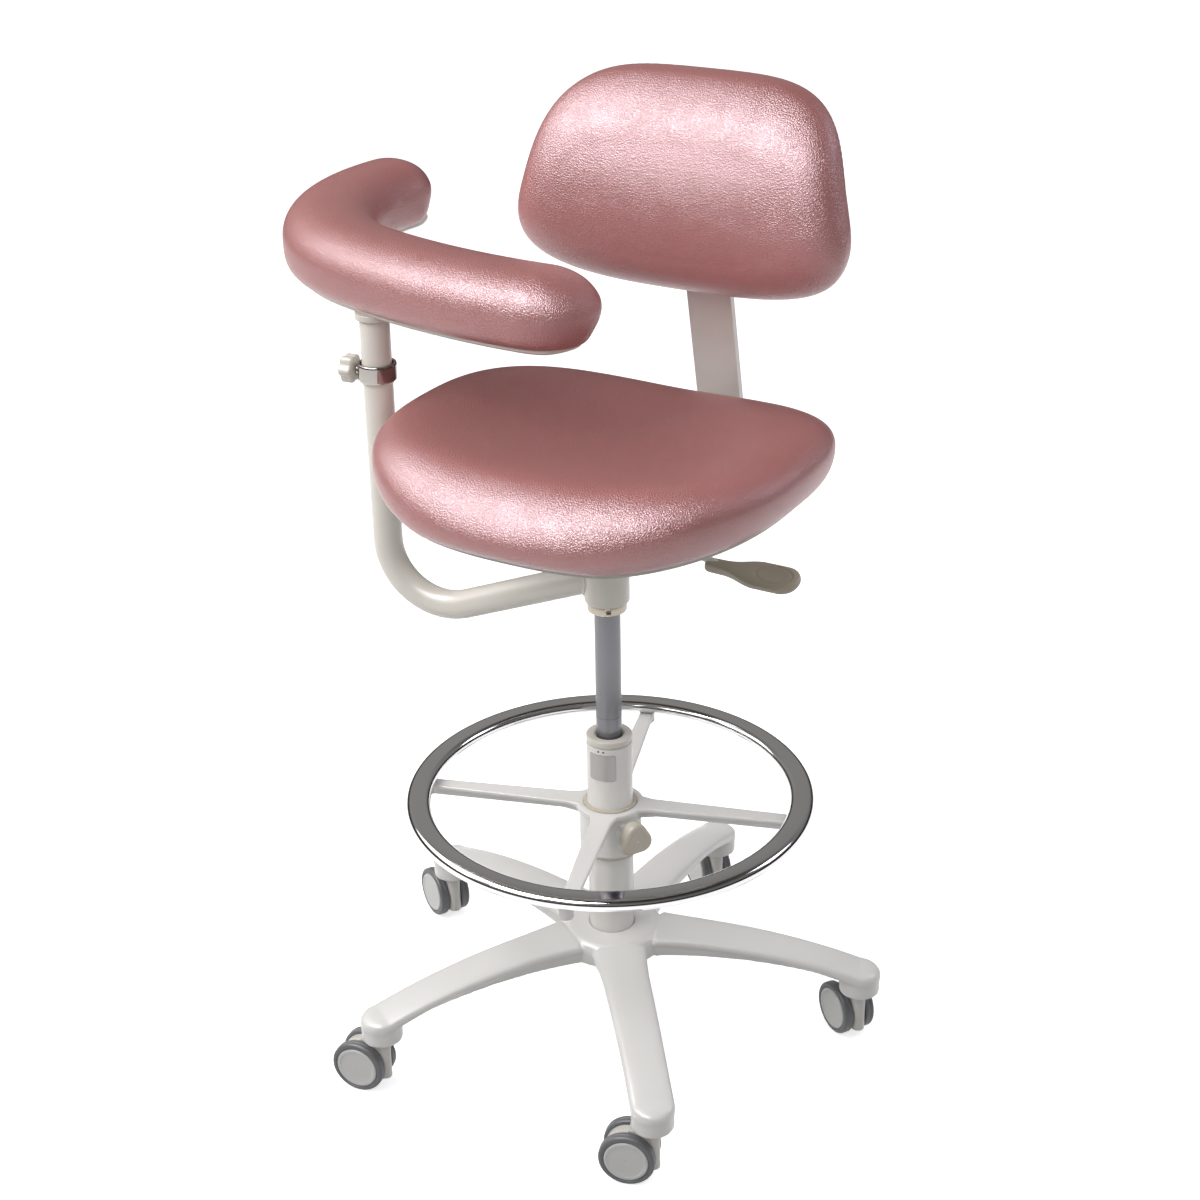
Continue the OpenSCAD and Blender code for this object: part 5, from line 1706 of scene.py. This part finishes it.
@dataclass
class Backrest(SubAssembly):
    """The backrest with its shell, bracket, bar and knobs."""

    width: float = 0.368
    height: float = 0.213
    thick: float = 0.059
    taper: float = 0.152
    top_shape: float = 4.2
    low_shape: float = 2.6
    wrap: float = 0.011
    bulge: float = 0.029
    tilt: float = 0.033
    rise: float = 0.286
    bar_back: float = 0.265
    lean: float = 12.0
    seat_z: float = 0.651
    gap: float = 0.008
    shell_t: float = 0.005
    inset: float = 0.009
    tuck: float = 0.0065
    roll: float = 0.052
    low_share: float = 0.42
    crown: float = 0.004
    bar_w: float = 0.053
    bar_t: float = 0.008
    bracket_z: float = 0.226
    bracket_h: float = 0.070
    bracket_reach: float = 0.018
    wall: float = 0.006
    slack: float = 0.0002
    knob_r: float = 0.022
    knob_h: float = 0.020
    low_knob_r: float = 0.019
    low_knob_h: float = 0.018
    low_knob_at: Point = (0.0952, 0.609)
    gathers: int = 53
    gather_depth: float = 0.0006
    around: int = 240

    def at_back(self) -> Matrix:
        """Gives the frame along the bar's upper part."""
        foot = Matrix.Translation((0, self.bar_back, self.seat_z))
        return foot @ turned(self.lean, "X")

    def ring(self, inset: float, depth: float, scale: float = 1.0) -> np.ndarray:
        """Gives a ring of the backrest.

        Args:
            inset: How far it is drawn in.
            depth: How far it lies in front of the shell's rear face.
            scale: The share of the outline that it spans.

        Returns:
            The ring's points, in the bar's frame.
        """
        a = full_turn(self.around)
        corner = 2 / np.where(np.sin(a) > 0, self.top_shape, self.low_shape)
        v = scale * (self.height / 2 - inset) * signed_power(np.sin(a), corner)
        u = (scale * (1 - self.taper * v / (self.height / 2)) * (self.width / 2 - inset)
             * signed_power(np.cos(a), corner))
        up = v / (self.height / 2)
        curve = self.bulge * up ** 2 + self.tilt * up - self.wrap * (u / (self.width / 2)) ** 2
        return np.stack([u, curve - self.gap - depth, self.rise + v], 1)

    def cushion(self) -> None:
        """Builds the vinyl cushion with small gathers where it wraps the shell."""
        rings = [self.ring(self.inset, self.shell_t, s) for s in (0.04, 0.38, 0.7, 1.0)]
        turn = full_turn(self.around)
        wander = turn * self.gathers + 2 * np.sin(turn * 4)
        gather = np.abs(np.sin(wander)) ** 3 * (0.5 + 0.5 * np.sin(turn * 4))
        for b in np.linspace(0, math.pi / 2, 16, endpoint=False):
            forward = self.low_share * self.thick * (1 - math.cos(b))
            fade = max(0.0, 1 - forward / GATHER_RUN) * min(1.0, forward / GATHER_START)
            rings.append(gathered(self.ring(self.tuck * (1 - math.sin(b)), self.shell_t + forward), 1,
                                  self.gather_depth * fade * gather))
        for b in np.linspace(0, math.pi / 2, 28):
            rings.append(self.ring(self.roll * (1 - math.cos(b)),
                                   self.shell_t + self.low_share * self.thick
                                   + (1 - self.low_share) * self.thick * math.sin(b)))
        rings += [self.ring(self.roll, self.shell_t + self.thick + self.crown * (1 - s * s), s)
                  for s in np.linspace(0.95, 0.02, 22)]
        piece = place_piece("backrest_cushion_vinyl", "backrest", ROSE_VINYL,
                            [loft(rings).moved(self.at_back())], ["back_cushion"])

    def shell(self) -> None:
        """Builds the moulded rear shell and the bracket that slides on the bar."""
        scales = (0.04, 0.25, 0.5, 0.75, 0.92, 1.0)
        rings = [self.ring(self.inset, self.shell_t - 0.0002, s) for s in scales]
        rings += [self.ring(self.inset - 0.0003, depth) for depth in (self.shell_t - 0.001, 0.0014)]
        rings += [self.ring(self.inset, 0.0, s) for s in reversed(scales)]
        place_piece("back_shell_moulding", "backrest", IVORY_PLASTIC,
                    [loft(rings).moved(self.at_back()), *self.bracket()], ["back_shell"])

    def bracket(self) -> list[Solid]:
        """Builds the bracket as a softened square sleeve.

        Returns:
            The bracket's form.
        """
        inner, rear = self.bar_w / 2 + self.slack, self.bar_t / 2 + self.slack
        low, high = self.bracket_z - self.bracket_h / 2, self.bracket_z + self.bracket_h / 2
        outer = [(-inner - self.wall, -self.bracket_reach), (inner + self.wall, -self.bracket_reach),
                 (inner + self.wall, rear + self.wall), (-inner - self.wall, rear + self.wall)]
        hole = [(-inner, -rear), (inner, -rear), (inner, rear), (-inner, rear)]
        soft, plain = np.array(soften(outer, 0.003, 4)), np.array(soften(hole, 0.0006, 4))
        middle = soft.mean(0)
        rings = []
        for edge, z in ((0.0012, low), (0.0, low + 0.0012), (0.0, high - 0.0012), (0.0012, high)):
            shrunk = soft - np.sign(soft - middle) * edge
            rings.append(np.column_stack([shrunk, np.full(len(soft), z)]))
        for z in (high, low):
            rings.append(np.column_stack([plain, np.full(len(plain), z)]))
        return [loft(rings, wrap=True).moved(self.at_back())]

    def knobs(self) -> None:
        """Builds the two lobed knobs that clamp the bracket and the bar."""
        knob_at = self.bar_t / 2 + self.slack + self.wall + 0.008
        middle = self.at_back() @ Matrix.Translation((0, 0, self.bracket_z))
        to_rear = middle @ turned(-90, "X")
        grip = lobed_rings(self.knob_r, 0.0036, 5, knob_profile(self.knob_h, 0.0035, self.knob_r, 0.0008))
        stud = stub(0.004, self.bar_t / 2 + 0.00005, knob_at + 0.002, 0.0003)
        place_piece("back_knob_grip", "back_knob", DARK_PLASTIC,
                    [grip.moved(to_rear @ Matrix.Translation((0, 0, knob_at))), stud.moved(to_rear)],
                    ["back_knob"])
        below = Matrix.Translation((0, *self.low_knob_at)) @ turned(180, "X")
        low_grip = lobed_rings(self.low_knob_r, 0.0031, 5,
                               knob_profile(self.low_knob_h, 0.003, self.low_knob_r, 0.0008))
        low_stud = stub(0.004, -0.01694, 0.002, 0.0003)
        place_piece("back_bar_knob_grip", "back_bar_knob", DARK_PLASTIC,
                    [low_grip.moved(below), low_stud.moved(below)], ["back_bar_knob"])

    def build(self) -> None:
        """Builds and dresses the backrest's pieces."""
        self.cushion()
        self.shell()
        self.knobs()
        self.dress("back_bar", CREAM_PAINT, 0.0012)


# --------------------------------------------------------------------------- studio


@dataclass
class Studio:
    """The camera, the lamps, the floor and the white surround."""

    eye: tuple[float, float, float] = (0.998595, -1.744551, 1.497319)
    right: tuple[float, float, float] = (0.86954308, 0.49362504, -0.01513768)
    up: tuple[float, float, float] = (-0.20211775, 0.38367248, 0.90107926)
    ahead: tuple[float, float, float] = (-0.4506032, 0.78046764, -0.43339014)
    lens: float = 63.8925
    sensor: float = 36.0
    ambient: float = 0.52
    glow: float = 0.66
    bounce: float = 0.28
    floor_half: float = 9.0
    floor_tone: float = 0.93
    wall_r: float = 4.0
    aim: Point3 = (0.0, 0.0, 0.62)
    lamps: tuple[tuple[str, Point3, Point3, Point, float], ...] = (
        ("key_softbox", (-1.78, -0.50, 1.95), (1.0, 0.985, 0.98), (2.1, 1.7), 28.0),
        ("front_softbox", (-0.80, -1.70, 2.25), (1.0, 0.98, 0.985), (1.2, 1.3), 19.0),
        ("rim_softbox", (1.35, 1.3, 1.70), (0.93, 0.88, 1.0), (0.8, 0.7), 9.0),
        (GLOSS_ONLY, (-0.68, -1.30, 2.72), (0.97, 0.95, 1.0), (2.9, 1.0), 135.0),
    )

    def camera(self) -> None:
        """Places the camera at the photograph's viewpoint."""
        data = bpy.data.cameras.new("photo_camera")
        data.lens = self.lens
        data.sensor_width = self.sensor
        data.clip_end = 60.0
        camera = stand("photo_camera", data)
        turn = Matrix((self.right, self.up, tuple(-a for a in self.ahead))).transposed().to_4x4()
        camera.matrix_world = Matrix.Translation(self.eye) @ turn
        bpy.context.scene.camera = camera

    def lights(self) -> None:
        """Hangs the soft lamps, each turned to the seat."""
        for name, spot, colour, size, watts in self.lamps:
            data = bpy.data.lights.new(name, "AREA")
            data.color = colour
            data.shape = "RECTANGLE"
            data.size, data.size_y = size
            data.energy = watts
            lamp = stand(name, data)
            lamp.visible_camera = False
            lamp.visible_diffuse = name != GLOSS_ONLY
            turn = (Vector(self.aim) - Vector(spot)).to_track_quat("-Z", "Y")
            lamp.matrix_world = Matrix.Translation(spot) @ turn.to_matrix().to_4x4()

    @staticmethod
    def seen(w: Wiring) -> bpy.types.NodeSocket:
        """Gives 1 for camera, glossy and transmission rays, and 0 for others.

        Args:
            w: The wiring of the tree that asks.

        Returns:
            The mask's socket.
        """
        path = w.node("ShaderNodeLightPath")
        shown = w.math("MAXIMUM", path.outputs["Is Camera Ray"], path.outputs["Is Glossy Ray"])
        return w.math("MAXIMUM", shown, path.outputs["Is Transmission Ray"])

    def world(self) -> None:
        """Makes the surround white to the eye and gentle as a light."""
        world = bpy.data.worlds.new("white_surround")
        w = blank_tree(world)
        strength = w.remap(self.seen(w), 0.0, 1.0, self.ambient, 1.0)
        shade = w.node("ShaderNodeBackground", {"Color": (1, 1, 1, 1), "Strength": strength})
        w.node("ShaderNodeOutputWorld", {"Surface": shade.outputs[0]})
        bpy.context.scene.world = world

    def floor(self) -> None:
        """Lays the pale floor, which keeps a soft shadow."""
        mesh = bpy.data.meshes.new("studio_floor")
        r = self.floor_half
        mesh.from_pydata([(-r, -r, 0), (r, -r, 0), (r, r, 0), (-r, r, 0)], [], [(0, 1, 2, 3)])
        floor = stand("studio_floor", mesh)
        material = bpy.data.materials.new("pale_floor")
        w = blank_tree(material)
        seen = self.seen(w)
        tone = w.mix(seen, (self.bounce,) * 3 + (1,), (self.floor_tone,) * 3 + (1,))
        paint = w.node("ShaderNodeBsdfDiffuse", {"Color": tone})
        shine = w.remap(seen, 0, 1, 0.0, self.glow)
        glow = w.node("ShaderNodeEmission", {"Color": (1, 1, 1, 1), "Strength": shine})
        both = w.node("ShaderNodeAddShader", {0: paint.outputs[0], 1: glow.outputs[0]})
        w.node("ShaderNodeOutputMaterial", {"Surface": both.outputs[0]})
        mesh.materials.append(material)

    def dark_walls(self) -> None:
        """Hangs the dim studio walls that only glossy surfaces reflect."""
        r = self.wall_r
        rise = [(r, 0.03), (r, 2.5), (r * 0.8, 4.2), (r * 0.4, 5.2), (0.05, 5.4)]
        walls = lathe(rise, 64, closed=False)
        walls.faces = [face for face in walls.faces if len(face) == 4]
        mesh = bpy.data.meshes.new("studio_walls")
        mesh.from_pydata(walls.points.tolist(), [], walls.faces)
        piece = stand("studio_walls", mesh)
        material = bpy.data.materials.new("dim_walls")
        w = blank_tree(material)
        spot = w.node("ShaderNodeSeparateXYZ", {0: w.place(1.0)})
        band = w.math("MULTIPLY", w.remap(spot.outputs[2], 0.8, 2.2, 0.02, 0.34),
                      w.remap(spot.outputs[2], 2.8, 4.8, 1.0, 0.15))
        shade = w.math("MULTIPLY", band, w.remap(spot.outputs[0], -r, r, 1.0, 0.5))
        glow = w.node("ShaderNodeEmission", {"Color": (1.0, 0.97, 0.93, 1), "Strength": shade})
        w.node("ShaderNodeOutputMaterial", {"Surface": glow.outputs[0]})
        mesh.materials.append(material)
        for ray in ("visible_camera", "visible_diffuse", "visible_shadow", "visible_transmission"):
            setattr(piece, ray, False)

    def build(self) -> None:
        """Sets the whole stage."""
        bpy.context.scene.view_settings.view_transform = "Standard"
        self.camera()
        self.lights()
        self.world()
        self.floor()
        self.dark_walls()
        LOG.info("studio is set")


def main() -> None:
    """Builds every sub-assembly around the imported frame."""
    logging.basicConfig(level=logging.INFO, format="%(message)s")
    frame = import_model()
    Studio().build()
    for kind in (StarBase, Casters, FootRing, GasLift, Seat, Lever, BodySupport, Backrest):
        kind(frame).build()
        LOG.info("%s is done", kind.__name__)


if __name__ == "__main__":
    main()
